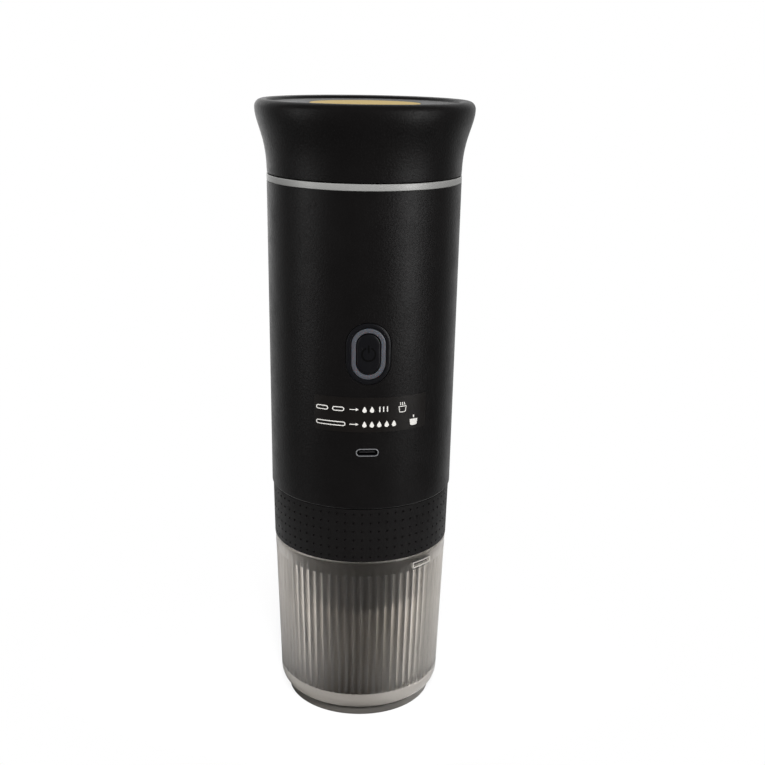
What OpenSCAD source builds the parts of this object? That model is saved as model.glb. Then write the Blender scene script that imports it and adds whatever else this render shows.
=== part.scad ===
// Portable self-heating coffee maker: screw lid and water tank on top, battery and pump bay in the
// middle, screw-on brewing chamber below, and a ribbed cup that covers the chamber and carries it all.
// Units are millimetres. Z is up, the foot stands on z = 0 and the button faces -Y.

/* [Cup] */
// Height of the cup from its foot to its rim
cup_h = 72.5; // [68:0.5:80]
// Outside diameter of the cup at its rim
cup_rim_d = 72.6; // [71:0.2:74]
// Outside diameter of the cup where the ribs end
cup_base_d = 68.2; // [65:0.2:70]
// Wall thickness of the cup
cup_wall = 2; // [1.6:0.1:2.4]
// Thickness of the cup's floor
cup_floor = 2.8; // [2:0.1:4]
// Height of the rounded corner above the foot ring
cup_corner_h = 7.6; // [6:0.2:9]
// How far the rounded corner draws in
cup_corner_in = 3.5; // [2.5:0.1:4.5]
// Outside diameter of the foot ring
foot_d = 60; // [54:0.5:61]
// Height of the foot ring
foot_h = 3.4; // [3:0.1:5]
// Width of the foot ring's flat face
foot_land = 3; // [2:0.2:5]
// Depth of the groove between foot ring and corner
foot_groove = 0.6; // [0.3:0.1:1]
// Number of upright ribs around the cup
rib_count = 72; // [48:1:80]
// Radius of the groove between two ribs
rib_groove_r = 0.6; // [0.4:0.05:0.8]
// Depth of the groove between two ribs
rib_groove_d = 0.45; // [0.2:0.05:0.6]
// Plain height of wall left between ribs and rim
rib_top_margin = 7; // [6:0.5:12]
// Length of a vent window around the wall
window_w = 10.7; // [6:0.1:14]
// Height of a vent window
window_h = 1.8; // [1.2:0.1:2.4]
// Distance from the rim down to a vent window
window_drop = 2.8; // [2:0.1:4]
// Direction of the first vent window, to the right of the button
window_azimuth = 43.8; // [30:0.1:60]

/* [Grip collar] */
// Height of the dotted grip band
grip_h = 22.8; // [20:0.2:28]
// Outside diameter of the grip band at its lower edge
grip_low_d = 73; // [72.6:0.1:74]
// Outside diameter of the grip band at its upper edge
grip_top_d = 74; // [73.4:0.1:74.6]
// Thickness of the grip sleeve at its lower edge
sleeve_t = 1.3; // [1:0.1:1.6]

/* [Brewing chamber] */
// Inside diameter of the chamber that takes the coffee
chamber_d = 56.8; // [54:0.2:58]
// Wall thickness of the chamber
chamber_wall = 2.4; // [1.8:0.1:2.6]
// How far the chamber reaches down into the cup
drum_drop = 25.3; // [20:0.1:30]
// Thickness of the chamber's floor
chamber_floor = 2.5; // [2:0.1:4]
// Depth of the threaded socket in the chamber's top
socket_h = 11.6; // [10:0.2:13]
// Height of the skirt that centres the cup
skirt_h = 6.3; // [5.5:0.1:8]
// Thickness of the brewing gasket
gasket_t = 2; // [1.5:0.1:3]
// Wall thickness of the coffee basket
basket_wall = 1.2; // [0.8:0.1:1.6]
// Thickness of the filter screen
screen_t = 0.6; // [0.4:0.1:1]
// Diameter of a hole in the filter screen
screen_hole_d = 1.2; // [0.8:0.1:1.6]
// Length of the spout below the chamber
spout_l = 11; // [6:0.5:14]
// Diameter of the spout at its tip
spout_tip_d = 13; // [9:0.5:16]
// Diameter of the bore in the spout
spout_bore_d = 5; // [3:0.2:6]

/* [Body] */
// Height of the outer shell
body_h = 125; // [120:0.5:140]
// Outside diameter of the shell at its lower edge
body_low_d = 74.9; // [74.6:0.1:76]
// Outside diameter of the shell at its upper edge
body_top_d = 77; // [76:0.1:79]
// Wall thickness of the shell
body_wall = 2.2; // [1.8:0.1:2.4]
// Height of the bright ring under the lid
ring_h = 2.5; // [1.5:0.1:4]
// Width of the label below the button, measured straight across
label_w = 43.7; // [36:0.1:46]
// Height of the label
label_h = 14; // [10:0.5:16]
// Distance of the label's middle to the right of the button's
label_right = 1.35; // [0:0.05:2]
// Height of the label's middle above the shell's lower edge
label_up = 39.2; // [36:0.1:41]

/* [Button and port] */
// Height of the button's middle above the shell's lower edge
button_up = 63.5; // [61:0.1:65]
// Width of the button's frame
bezel_w = 17.4; // [16:0.1:19]
// Height of the button's frame
bezel_h = 24.4; // [23:0.1:26]
// Width of the light ring
light_w = 13.4; // [12:0.1:14]
// Height of the light ring
light_h = 20.3; // [19:0.1:21]
// Width of the button
button_w = 10; // [8:0.1:10.4]
// Height of the button
button_h = 16.7; // [14:0.1:17.2]
// Travel of the button
button_travel = 0.8; // [0.4:0.1:1.2]
// Height of the charging port's middle above the shell's lower edge
port_up = 23.7; // [22:0.1:28]
// Width of the port's metal shell
port_w = 8.94; // [8.8:0.02:9.2]
// Height of the port's metal shell
port_h = 3.2; // [3.1:0.02:3.4]

/* [Lid] */
// Height of the lid
lid_h = 28; // [26:0.5:34]
// Outside diameter of the lid's flared rim
lid_rim_d = 86; // [82:0.5:92]
// Radius that rounds the lid's rim
lid_lip_r = 3; // [2:0.1:3.5]
// Width of the raised lip around the dished top
lid_lip_w = 4.6; // [3.6:0.1:6]
// Depth of the dish in the lid's top
lid_dish = 1.3; // [0.6:0.05:1.6]
// Diameter of the metal disc in the lid's top
disc_d = 43.4; // [36:0.2:50]
// Thickness of the metal disc
disc_t = 0.8; // [0.5:0.1:1.2]
// Thickness of the lid's seal
seal_t = 2.2; // [1.6:0.1:3]

/* [Tank] */
// Inside diameter of the water tank
tank_d = 56; // [50:0.5:57]
// Wall thickness of the steel tank
tank_wall = 0.8; // [0.6:0.1:1]
// Outside diameter of the threaded neck at the thread's root
neck_d = 63.2; // [62.6:0.1:64]
// Height of the neck above the bright ring
neck_h = 13.7; // [13:0.1:15]

/* [Threads] */
// Outside diameter of the threaded spigot at the thread's root
spigot_d = 59.6; // [59:0.1:60.4]
// Advance of the thread in one turn
thread_lead = 9; // [8.4:0.2:10.2]
// Number of thread starts
thread_starts = 3; // [3:1:3]
// Height of a thread ridge
thread_depth = 1.1; // [0.9:0.05:1.2]

/* [Bay] */
// Diameter of a battery cell
cell_d = 18.3; // [16:0.1:18.5]
// Length of a battery cell
cell_l = 65; // [65:0.5:70]
// Diameter of the pump's motor
motor_d = 24.4; // [20:0.1:26]
// Length of the pump's motor
motor_l = 36; // [30:0.5:40]
// Diameter of the pump
pump_d = 26; // [24:0.2:28]
// Width of the circuit board
board_w = 44; // [40:0.5:46]
// Thickness of the circuit board
board_t = 1.6; // [1:0.1:2]
// Outside diameter of the water tube
tube_d = 6; // [5:0.1:6.4]
// Bore of the water tube
tube_bore = 3.8; // [3:0.1:4]

/* [Hidden] */
$fn = 96;

// Clearances that pieces share
fit = 0.15;            // a fixed piece in its seat
slide_gap = 0.3;       // between a moving piece and what it passes
bore_gap = 0.05;       // a shaft in its bearing
thread_play = 0.5;     // crest of a ridge to the wall across from it
seam = 0.3;            // cup rim to collar
collar_seam = 0.4;     // collar to shell
lid_seam = 0.5;        // bright ring to lid
eps = 0.01;            // overrun of a cut
over = 5;              // a cut's reach past the outside

// Levels, from the foot upwards
base_drop = 0.8;
basket_shelf_t = 1.2;
z_ribs0 = foot_h + cup_corner_h;
z_base = foot_h - base_drop;
z_floor = z_base + cup_floor;
z_collar0 = cup_h + seam;
z_collar1 = z_collar0 + grip_h;
z_ledge = z_collar1 - socket_h;
z_spigot0 = z_ledge + gasket_t;
z_drum0 = z_collar0 - drum_drop;
z_chamber0 = z_drum0 + chamber_floor;
z_spout0 = z_drum0 - spout_l;
z_screen0 = z_chamber0 + basket_shelf_t;
z_body0 = z_collar1 + collar_seam;
z_body1 = z_body0 + body_h;
z_ring1 = z_body1 + ring_h;
z_lid0 = z_ring1 + lid_seam;
z_lid1 = z_lid0 + lid_h;
z_button = z_body0 + button_up;
z_port = z_body0 + port_up;
z_label = z_body0 + label_up;

// Radii of the outside
cup_rim_r = cup_rim_d / 2;
cup_base_r = cup_base_d / 2;
cup_draft = atan((cup_rim_r - cup_base_r) / (cup_h - z_ribs0));
foot_r = foot_d / 2;
body_low_r = body_low_d / 2;
body_top_r = body_top_d / 2;
function body_r(z) = body_low_r + (body_top_r - body_low_r) * (z - z_body0) / body_h;
function bay_r(z) = body_r(z) - body_wall;

// Threads: the ridges of the two halves lie half a pitch apart
thread_pitch = thread_lead / thread_starts;
thread_arc = 150;
thread_base_w = 1.5;
thread_crest_w = 0.7;
thread_sink = 0.4;
spigot_thread_up = 1;
neck_thread_up = 4.5;
z_spigot_thread = z_spigot0 + spigot_thread_up;
z_neck_thread = z_ring1 + neck_thread_up;

// Collar and chamber
sleeve_in_r = grip_low_d / 2 - sleeve_t;
collar_r = sleeve_in_r - fit;
spigot_r = spigot_d / 2;
socket_r = spigot_r + thread_depth + thread_play;
chamber_r = chamber_d / 2;
drum_r = chamber_r + chamber_wall;
cup_mouth_r = cup_rim_r - cup_wall;
skirt_in = 1.6;
skirt_r = cup_mouth_r - skirt_in;
lug_gap = 0.6;
lug_r = cup_mouth_r - lug_gap;
lug_root = 0.5;
lug_up = 0.6;
lug_lead = 18;
lug_l = 7;
lug_h = 1.2;
lug_tilt = 9;
seal_groove = 1.5;
cup_seal_h = 2.4;
cup_seal_drop = 1;
drum_chamfer = 2;
spout_flare = 3;
spout_wall = 2;
spout_top_r = spout_tip_d / 2 + spout_flare;
spout_hole_r = spout_bore_d / 2;
spout_neck_r = spout_hole_r + spout_wall;
basket_r = chamber_r - slide_gap;
basket_flange_t = 1.5;
basket_top_drop = 0.5;
basket_shelf_w = 5;
screen_rings = 4;
screen_pitch = 5;

// Brewing head that closes the shell's lower end
head_lift = 0.4;
head_t = 5.2;
z_head0 = z_body0 + head_lift;
z_head1 = z_head0 + head_t;
head_r = bay_r(z_body0) - fit;
spigot_wall = 3.4;
spigot_in_r = spigot_r - spigot_wall;
plate_ledge = 1.5;
head_in_r = spigot_in_r - plate_ledge;
valve_r = 4;
valve_boss_r = 8;
valve_boss_h = 4.4;
valve_seat_t = 1.5;
valve_orifice_r = 1.5;
z_boss = z_head0 - valve_boss_h;
z_valve0 = z_boss + valve_seat_t;
plate_t = 1.2;
plate_recess = 0.8;
plate_r = spigot_in_r - fit;
z_plate0 = z_spigot0 + plate_recess;
z_plate1 = z_plate0 + plate_t;
needle_ring_r = 9;
needle_l = 6;
needle_r = 1.6;
needle_tip_r = 0.4;
plate_boss_r = 3;
plate_screw_ring_r = 18;
plate_screw_angles = [30, 150, 270];
needle_angles = [90, 210, 330];
shower_hole_r = 0.8;
shower_holes = 8;
shower_ring_r = 13.5;

// Screws: a shank in a pilot hole and a low round head
screw_r = 1;
screw_head_r = 1.9;
screw_head_h = 1.2;
screw_slot_w = 0.6;
screw_slot_d = 0.5;
screw_grip = 6;
screw_room = 1;
short_grip = 4;
board_grip = 3;
board_grip_room = 0.5;

// Bay between the brewing head and the heater deck
deck_t = 2;
contact_t = 0.3;
z_deck0 = z_head1;
z_deck1 = z_deck0 + deck_t;
z_cell0 = z_deck1 + contact_t;
z_cell1 = z_cell0 + cell_l;
deck_r = bay_r(z_deck0) - fit;
cell_r = cell_d / 2;
cell_margin = 0.5;
cell_ring_r = deck_r - cell_r - cell_margin;
cell_cap_r = 4;
cell_cap_h = 1;
cell_angles = [30, 90, 150];
post_r = 2.4;
post_ring_r = deck_r - post_r - fit;
post_angles = [60, 120, 200, 340];
rail_x = 17;
rail_w = 6;
rail_d = 4.4;
notch_margin = 4;
notch_room = 1;
deck_notch_w = bezel_w + 2 * notch_margin;

// Pump, stacked on the lower deck
manifold_h = 10;
diaphragm_t = 1.5;
case_h = 13;
case_wall = 3;
pump_r = pump_d / 2;
motor_r = motor_d / 2;
z_manifold1 = z_deck1 + manifold_h;
z_diaphragm1 = z_manifold1 + diaphragm_t;
z_case1 = z_diaphragm1 + case_h;
z_motor1 = z_case1 + motor_l;
shaft_r = 1;
cam_r = 6;
cam_h = 6;
cam_offset = 1.5;
cam_gap = 1.5;
shaft_in_motor = 20;
shaft_hole_gap = 1;

// Heater deck, clear of the cells and of the motor's leads
upper_deck_t = 3;
wire_room = 4.5;
z_upper0 = max(z_cell1 + contact_t + fit, z_motor1 + wire_room);
z_upper1 = z_upper0 + upper_deck_t;
upper_deck_r = bay_r(z_upper0) - fit;

// Button stack, measured inwards from the shell's face at the button
button_face = body_r(z_button);
light_proud = 0.25;
bezel_proud = 0.15;
button_proud = 0.45;
frame_depth = 5;
flange_t = 1.2;
flange_lip = 1.2;
plunger_l = 1.6;
plunger_r = 1.6;
stem_l = 2.2;
stem_w = 4;
switch_w = 6;
switch_l = 3.6;
frame_back = -(button_face - frame_depth);
flange_back = frame_back + flange_t;
stem_back = flange_back + stem_l;
plunger_in = 0.7;
plunger_gap = 0.2;
switch_front = stem_back + plunger_l - plunger_in;
board_front = switch_front + switch_l;
board_back = board_front + board_t;
board_margin = 0.6;
z_board0 = z_deck1 + board_margin;
z_board1 = z_upper0 - board_margin;
board_screw_low = 6;
board_screw_drop = 16;
board_screw_up = [board_screw_low, z_board1 - z_board0 - board_screw_drop];
port_inset = 0.5;
port_shell_t = 0.3;
port_tongue_t = 0.7;
port_cut_gap = 0.15;
port_back_t = 4;
port_tongue_in = 1;
port_tongue_margin = 1.3;

// Water path from the tank to the pump
tube_azimuth = -23;
tube_ring_r = 20.6;
tube_r = tube_d / 2;
tube_bore_r = tube_bore / 2;
tube_bend_r = 6;
tube_end_gap = 0.3;
tube_seat_gap = 0.2;
barb_wall = 0.65;
outlet_flange_r = 5;
outlet_flange_t = 1.2;
z_inlet = z_deck1 + manifold_h / 2;
stem_r = 2.5;
barb_l = 7;

// Heater and tank
pad_t = 1.5;
heater_t = 5;
ledge_t = 2.4;
ledge_in = 4;
pad_r = 24;
heater_r = 26.5;
z_heater0 = z_upper1 + pad_t;
z_tank0 = z_heater0 + heater_t;
sensor_r = 1.5;
sensor_l = 9;
sensor_out = 1;
tank_r = tank_d / 2;
tank_out_r = tank_r + tank_wall;
neck_r = neck_d / 2;
neck_flange_t = 3.5;
neck_ledge_t = 3;
neck_ledge_in = 2.4;
ledge_root = 0.5;
ledge_notch_in = 0.6;
neck_in_r = tank_out_r + fit;
z_neck1 = z_ring1 + neck_h;
z_tank1 = z_neck1 + tank_wall;
z_neck_flange = z_body1 - neck_flange_t;
tank_flange_in = 0.4;
tank_flange_r = neck_r - tank_flange_in;
neck_flange_r = bay_r(z_neck_flange) - fit;

// Lid
lid_low_in = 0.05;
lid_low_r = body_top_r - lid_low_in;
lid_rim_r = lid_rim_d / 2;
liner_in_r = neck_r + thread_depth + thread_play;
liner_wall = 2.2;
liner_out_r = liner_in_r + liner_wall;
liner_lift = 0.4;
liner_roof = 2.2;
z_seal1 = z_tank1 + seal_t;
z_liner1 = z_seal1 + liner_roof;
lid_roof = 2.6;
lid_shoulder = 2.4;
lid_roof_r = liner_out_r - lid_shoulder;
seal_lap = 0.6;
seal_in_r = tank_r - seal_lap;
seal_boss_h = 1.4;
vent_r = 3;
vent_cap_r = 5;
vent_cap_t = 1.2;
vent_bore_r = 1;
z_boss0 = z_seal1 - seal_boss_h;
z_dish = z_lid1 - lid_dish;
dish_r = lid_rim_r - lid_lip_w;
lip_fall = 0.35;
z_pocket = z_dish - disc_t;
z_lid_roof = z_pocket - lid_roof;

// Wires
wire_r = 0.9;
wire_elbow_r = 1.05;
tab_w = 16;
tab_reach = 3.5;
strip_l = 10;
strip_w = 8;
motor_lead_x = 3;

// Label
label_t = 0.15;
label_gap = 0.05;

// Looks
black_matte = "#1b1a1a";
black_gloss = "#0e0e10";
smoke = "#6f6c67";
steel = "#b9bbbd";
silver = "#b4b4b4";
gold = "#d6b878";
grey_light = "#5a5c66";
rubber = "#2c2c2c";
white_rubber = "#d8d6d0";
board_green = "#1f5a34";
brass = "#b99a4e";

// Shapes that repeat

// Tube of revolution between two levels, straight inside and out
module ring(r_out, r_in, z0, z1) {
    translate([0, 0, z0]) difference() {
        cylinder(r = r_out, h = z1 - z0);
        translate([0, 0, -eps]) cylinder(r = r_in, h = z1 - z0 + 2 * eps);
    }
}

// Solid that follows the shell's taper, offset outwards by off
module taper(z0, z1, off) {
    translate([0, 0, z0]) cylinder(r1 = body_r(z0) + off, r2 = body_r(z1) + off, h = z1 - z0);
}

// Upright shape with round ends
module stadium(w, h) {
    if (h > w) {
        square([w, h - w], center = true);
        for (s = [-1, 1]) translate([0, s * (h - w) / 2]) circle(d = w);
    } else {
        square([w - h, h], center = true);
        for (s = [-1, 1]) translate([s * (w - h) / 2, 0]) circle(d = h);
    }
}

// Bar of stadium section along Y, from y0 back to y1, with its middle at height z
module stadium_bar(w, h, y0, y1, z) {
    translate([0, y1, z]) rotate([90, 0, 0]) linear_extrude(y1 - y0) stadium(w, h);
}

// Part of a stadium bar that lies inside the shell's taper grown by proud
module front_bar(w, h, y1, z, proud) {
    intersection() {
        stadium_bar(w, h, -(body_r(z) + over), y1, z);
        taper(z - h, z + h, proud);
    }
}

// One helical ridge of trapezoid section: side is 1 for an outside thread and -1 for an inside one
module thread_ridge(wall_r, side, arc) {
    steps = 16;
    base = thread_base_w / 2;
    crest = thread_crest_w / 2;
    section = [[-thread_sink, -base], [thread_depth, -crest], [thread_depth, crest], [-thread_sink, base]];
    points = [for (i = [0:steps]) for (p = section)
        let (a = arc * i / steps, r = wall_r + side * p[0])
        [r * cos(a), r * sin(a), thread_lead * a / 360 + p[1]]];
    flip = function (f) side > 0 ? f : [f[2], f[1], f[0]];
    walls = [for (i = [0:steps - 1]) for (k = [0:3])
        let (a = 4 * i + k, b = 4 * i + (k + 1) % 4, c = b + 4, d = a + 4)
        each [flip([a, b, c]), flip([a, c, d])]];
    last = 4 * steps;
    caps = [flip([0, 2, 1]), flip([0, 3, 2]),
            flip([last, last + 1, last + 2]), flip([last, last + 2, last + 3])];
    polyhedron(points = points, faces = concat(walls, caps));
}

// All starts of a thread, the lower end of each at height z
module thread(wall_r, side, z) {
    for (i = [0:thread_starts - 1])
        rotate([0, 0, 360 * i / thread_starts]) translate([0, 0, z]) thread_ridge(wall_r, side, thread_arc);
}

// Screw with its head's underside at the origin and its shank along +Z
module screw(grip) {
    difference() {
        union() {
            cylinder(r = screw_r, h = grip, $fn = 32);
            translate([0, 0, -screw_head_h]) cylinder(r = screw_head_r, h = screw_head_h, $fn = 32);
        }
        translate([-screw_slot_w / 2, -screw_head_r - eps, -screw_head_h - eps])
            cube([screw_slot_w, 2 * screw_head_r + 2 * eps, screw_slot_d]);
    }
}

// Round rod between two points
module rod(a, b, r) {
    d = b - a;
    translate(a) rotate([0, acos(d[2] / norm(d)), atan2(d[1], d[0])]) cylinder(r = r, h = norm(d), $fn = 24);
}

// Wire along a list of points
module wire(route) {
    for (i = [0:len(route) - 2]) rod(route[i], route[i + 1], wire_r);
    for (i = [1:len(route) - 2]) translate(route[i]) sphere(r = wire_elbow_r, $fn = 24);
}

// Cut for a round hole through a plate of thickness t that starts at height z
module hole(x, y, z, r, t) {
    translate([x, y, z - eps]) cylinder(r = r, h = t + 2 * eps, $fn = 48);
}

// Copies of the children on a circle at the given angles
module at_angles(angles, r) {
    for (a = angles) rotate([0, 0, a]) translate([r, 0, 0]) children();
}

// Cup and brewing chamber

module cup() {
    steps = 10;
    in_low_r = cup_base_r - cup_wall;
    outer_corner = [for (i = [0:steps]) let (t = 90 * i / steps)
        [cup_base_r - cup_corner_in * (1 - cos(t)), z_ribs0 - cup_corner_h * sin(t)]];
    inner_corner = [for (i = [0:steps]) let (t = 90 * (steps - i) / steps)
        [in_low_r - cup_corner_in * (1 - cos(t)), z_ribs0 - (z_ribs0 - z_floor) * sin(t)]];
    groove_in = cup_base_r - cup_corner_in - 2 * foot_groove;
    color(smoke, 0.55) difference() {
        rotate_extrude() polygon(concat(
            [[cup_rim_r, cup_h]], outer_corner,
            [[groove_in, foot_h], [groove_in, foot_h - foot_groove], [foot_r, foot_h - foot_groove],
             [foot_r, 0], [foot_r - foot_land, 0], [foot_r - foot_land, z_base], [0, z_base], [0, z_floor]],
            inner_corner, [[cup_mouth_r, cup_h]]));
        cup_grooves();
        for (s = [0, 180]) rotate([0, 0, window_azimuth - 90 + s])
            translate([cup_mouth_r - cup_wall, -window_w / 2, cup_h - window_drop - window_h])
                cube([3 * cup_wall, window_w, window_h]);
    }
}

// Grooves that leave the upright ribs, leaning with the wall
module cup_grooves() {
    rib_start = 1;
    rib_h = cup_h - rib_top_margin - z_ribs0;
    centre_r = cup_base_r + rib_groove_r - rib_groove_d;
    for (i = [0:rib_count - 1])
        rotate([0, 0, 360 * i / rib_count]) translate([centre_r, 0, z_ribs0 + rib_start])
            rotate([0, cup_draft, 0]) cylinder(r = rib_groove_r, h = rib_h, $fn = 24);
}

module brew_chamber() {
    groove0 = z_collar0 - cup_seal_drop - cup_seal_h;
    groove_r = skirt_r - seal_groove;
    skirt0 = z_collar0 - skirt_h;
    color(black_matte) {
        rotate_extrude() polygon([
            [collar_r, z_collar1], [collar_r, z_collar0], [skirt_r, z_collar0],
            [skirt_r, groove0 + cup_seal_h], [groove_r, groove0 + cup_seal_h], [groove_r, groove0],
            [skirt_r, groove0],
            [skirt_r, skirt0], [drum_r, skirt0], [drum_r, z_drum0 + drum_chamfer],
            [drum_r - drum_chamfer, z_drum0], [spout_neck_r, z_drum0], [spout_neck_r, z_chamber0],
            [chamber_r, z_chamber0], [chamber_r, z_ledge], [socket_r, z_ledge], [socket_r, z_collar1]]);
        thread(socket_r, -1, z_spigot_thread + thread_pitch / 2);
        for (s = [0, 180]) rotate([0, 0, window_azimuth - 90 - lug_lead + s])
            translate([skirt_r - lug_root, -lug_l / 2, skirt0 + lug_up]) rotate([lug_tilt, 0, 0])
                cube([lug_r - skirt_r + lug_root, lug_l, lug_h]);
    }
}

module grip_sleeve() {
    color(black_matte) rotate_extrude() polygon([
        [sleeve_in_r, z_collar0], [grip_low_d / 2, z_collar0],
        [grip_top_d / 2, z_collar1], [sleeve_in_r, z_collar1]]);
}

module cup_seal() {
    bead = cup_seal_h / 2 - fit;
    bead_r = cup_mouth_r - slide_gap - bead;
    seat_r = skirt_r - seal_groove + fit;
    mid = z_collar0 - cup_seal_drop - cup_seal_h / 2;
    color(rubber) rotate_extrude() union() {
        translate([seat_r, mid - bead]) square([bead_r - seat_r, 2 * bead]);
        translate([bead_r, mid]) circle(r = bead);
    }
}

module coffee_basket() {
    top = z_ledge - basket_top_drop;
    shelf_r = basket_r - basket_shelf_w;
    color(steel) rotate_extrude() polygon([
        [basket_r, top], [basket_r, z_chamber0], [shelf_r, z_chamber0], [shelf_r, z_screen0],
        [basket_r - basket_wall, z_screen0], [basket_r - basket_wall, top - basket_flange_t],
        [basket_r - 2 * basket_wall, top]]);
}

module filter_screen() {
    color(steel) difference() {
        translate([0, 0, z_screen0]) cylinder(r = basket_r - basket_wall - fit, h = screen_t);
        hole(0, 0, z_screen0, screen_hole_d / 2, screen_t);
        for (k = [1:screen_rings]) at_angles([for (i = [0:6 * k - 1]) 60 * i / k], k * screen_pitch)
            hole(0, 0, z_screen0, screen_hole_d / 2, screen_t);
    }
}

module spout() {
    color(black_matte) rotate_extrude() polygon([
        [spout_hole_r, z_spout0], [spout_tip_d / 2, z_spout0], [spout_top_r, z_drum0],
        [spout_neck_r - fit, z_drum0], [spout_neck_r - fit, z_chamber0], [spout_hole_r, z_chamber0]]);
}

module brew_gasket() {
    color(white_rubber) ring(socket_r - slide_gap, chamber_r + fit, z_ledge, z_spigot0);
}

// Brewing head

module brew_head() {
    color(black_matte) {
        difference() {
            rotate_extrude() polygon([
                [0, z_head1], [head_r, z_head1], [head_r, z_head0], [spigot_r, z_head0],
                [spigot_r, z_spigot0], [spigot_in_r, z_spigot0], [spigot_in_r, z_plate1],
                [head_in_r, z_plate1],
                [head_in_r, z_head0], [valve_boss_r, z_head0], [valve_boss_r, z_boss], [0, z_boss]]);
            translate([0, 0, z_valve0]) cylinder(r = valve_r + fit, h = head_t + valve_boss_h);
            hole(0, 0, z_boss, valve_orifice_r, valve_seat_t);
            at_angles(post_angles, post_ring_r) {
                hole(0, 0, z_head0, screw_r + fit, head_t);
                translate([0, 0, z_head0 - eps])
                    cylinder(r = screw_head_r + fit, h = screw_head_h + eps, $fn = 32);
            }
        }
        thread(spigot_r, 1, z_spigot_thread);
        plate_bosses();
    }
}

// Bosses that hang from the head and take the needle plate's screws
module plate_bosses() {
    at_angles(plate_screw_angles, plate_screw_ring_r) difference() {
        translate([0, 0, z_plate1]) cylinder(r = plate_boss_r, h = z_head0 - z_plate1 + eps, $fn = 32);
        translate([0, 0, z_plate1 - eps]) cylinder(r = screw_r + fit, h = screw_grip, $fn = 32);
    }
}

module base_screws() {
    color(steel) at_angles(post_angles, post_ring_r)
        translate([0, 0, z_head0 + screw_head_h]) screw(head_t - screw_head_h + screw_grip);
}

module needle_plate() {
    color(steel) difference() {
        union() {
            translate([0, 0, z_plate0]) cylinder(r = plate_r, h = plate_t);
            at_angles(needle_angles, needle_ring_r) translate([0, 0, z_plate0 - needle_l])
                cylinder(r1 = needle_tip_r, r2 = needle_r, h = needle_l + eps, $fn = 32);
        }
        at_angles(plate_screw_angles, plate_screw_ring_r) hole(0, 0, z_plate0, screw_r + fit, plate_t);
        at_angles([for (i = [0:shower_holes - 1]) 360 * i / shower_holes], shower_ring_r)
            hole(0, 0, z_plate0, shower_hole_r, plate_t);
    }
}

module plate_screws() {
    color(steel) at_angles(plate_screw_angles, plate_screw_ring_r)
        translate([0, 0, z_plate0]) screw(plate_t + short_grip);
}

module check_valve() {
    color(brass) ring(valve_r, valve_orifice_r, z_valve0, z_deck1);
}

// Outer shell and what shows on it

module body_shell() {
    chamfer = 0.4;
    ledge_r = bay_r(z_upper1) - ledge_in;
    port_cut_w = port_w + 2 * port_cut_gap;
    port_cut_h = port_h + 2 * port_cut_gap;
    neck_ledge_r = neck_flange_r - neck_ledge_in;
    root_r = bay_r(z_upper1) + ledge_root;
    color(black_matte) difference() {
        union() {
            rotate_extrude() polygon([
                [body_low_r - chamfer, z_body0], [body_r(z_body0 + 2 * chamfer), z_body0 + 2 * chamfer],
                [body_top_r, z_body1], [bay_r(z_body1), z_body1], [bay_r(z_body0), z_body0]]);
            rotate_extrude() polygon([
                [root_r, z_upper1 + fit], [ledge_r, z_upper1 + fit],
                [ledge_r, z_upper1 + ledge_t], [root_r, z_upper1 + ledge_t]]);
            rotate_extrude() polygon([
                [neck_flange_r + ledge_root, z_neck_flange - neck_ledge_t], [neck_ledge_r, z_neck_flange],
                [neck_flange_r + ledge_root, z_neck_flange]]);
        }
        stadium_bar(bezel_w, bezel_h, -(body_top_r + over), -deck_notch_w / 2, z_button);
        stadium_bar(port_cut_w, port_cut_h, -(body_top_r + over), -deck_notch_w / 2, z_port);
        translate([-deck_notch_w / 2, -body_low_r + body_wall + ledge_notch_in, z_upper1])
            cube([deck_notch_w, ledge_in + over, ledge_t + over]);
    }
}

module trim_ring() {
    color(silver) ring(body_top_r, neck_r + fit, z_body1, z_ring1);
}

module label() {
    color("#231f1e") intersection() {
        difference() {
            taper(z_label - label_h, z_label + label_h, label_gap + label_t);
            taper(z_label - label_h - eps, z_label + label_h + eps, label_gap);
        }
        translate([label_right - label_w / 2, -body_top_r - over, z_label - label_h / 2])
            cube([label_w, body_top_r, label_h]);
    }
}

module button_bezel() {
    flange_w = bezel_w + 2 * flange_lip;
    flange_h = bezel_h + 2 * flange_lip;
    color(black_gloss) difference() {
        union() {
            front_bar(bezel_w - 2 * fit, bezel_h - 2 * fit, frame_back, z_button, bezel_proud);
            intersection() {
                stadium_bar(flange_w, flange_h, frame_back - flange_t, frame_back, z_button);
                taper(z_button - bezel_h, z_button + bezel_h, -body_wall - fit);
            }
        }
        stadium_bar(light_w, light_h, -(body_top_r + over), frame_back + over, z_button);
    }
}

module light_ring() {
    well_w = button_w + 2 * slide_gap;
    well_h = button_h + 2 * slide_gap;
    color(grey_light) difference() {
        front_bar(light_w - 2 * fit, light_h - 2 * fit, frame_back, z_button, light_proud);
        stadium_bar(well_w, well_h, -(body_top_r + over), frame_back + over, z_button);
    }
}

module button() {
    color(black_gloss) {
        front_bar(button_w, button_h, frame_back + eps, z_button, button_proud);
        stadium_bar(button_w + 2 * flange_lip, button_h + 2 * flange_lip, frame_back, flange_back, z_button);
        translate([-stem_w / 2, flange_back - eps, z_button - stem_w / 2])
            cube([stem_w, stem_l + eps, stem_w]);
    }
}

module switch_plunger() {
    color(white_rubber) translate([0, stem_back, z_button]) rotate([-90, 0, 0])
        cylinder(r = plunger_r, h = plunger_l, $fn = 32);
}

module switch_body() {
    bore_depth = plunger_l + button_travel;
    color("#3a3a3c") difference() {
        translate([-switch_w / 2, switch_front, z_button - switch_w / 2])
            cube([switch_w, switch_l, switch_w]);
        translate([0, switch_front - eps, z_button]) rotate([-90, 0, 0])
            cylinder(r = plunger_r + plunger_gap, h = bore_depth, $fn = 32);
    }
}

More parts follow.
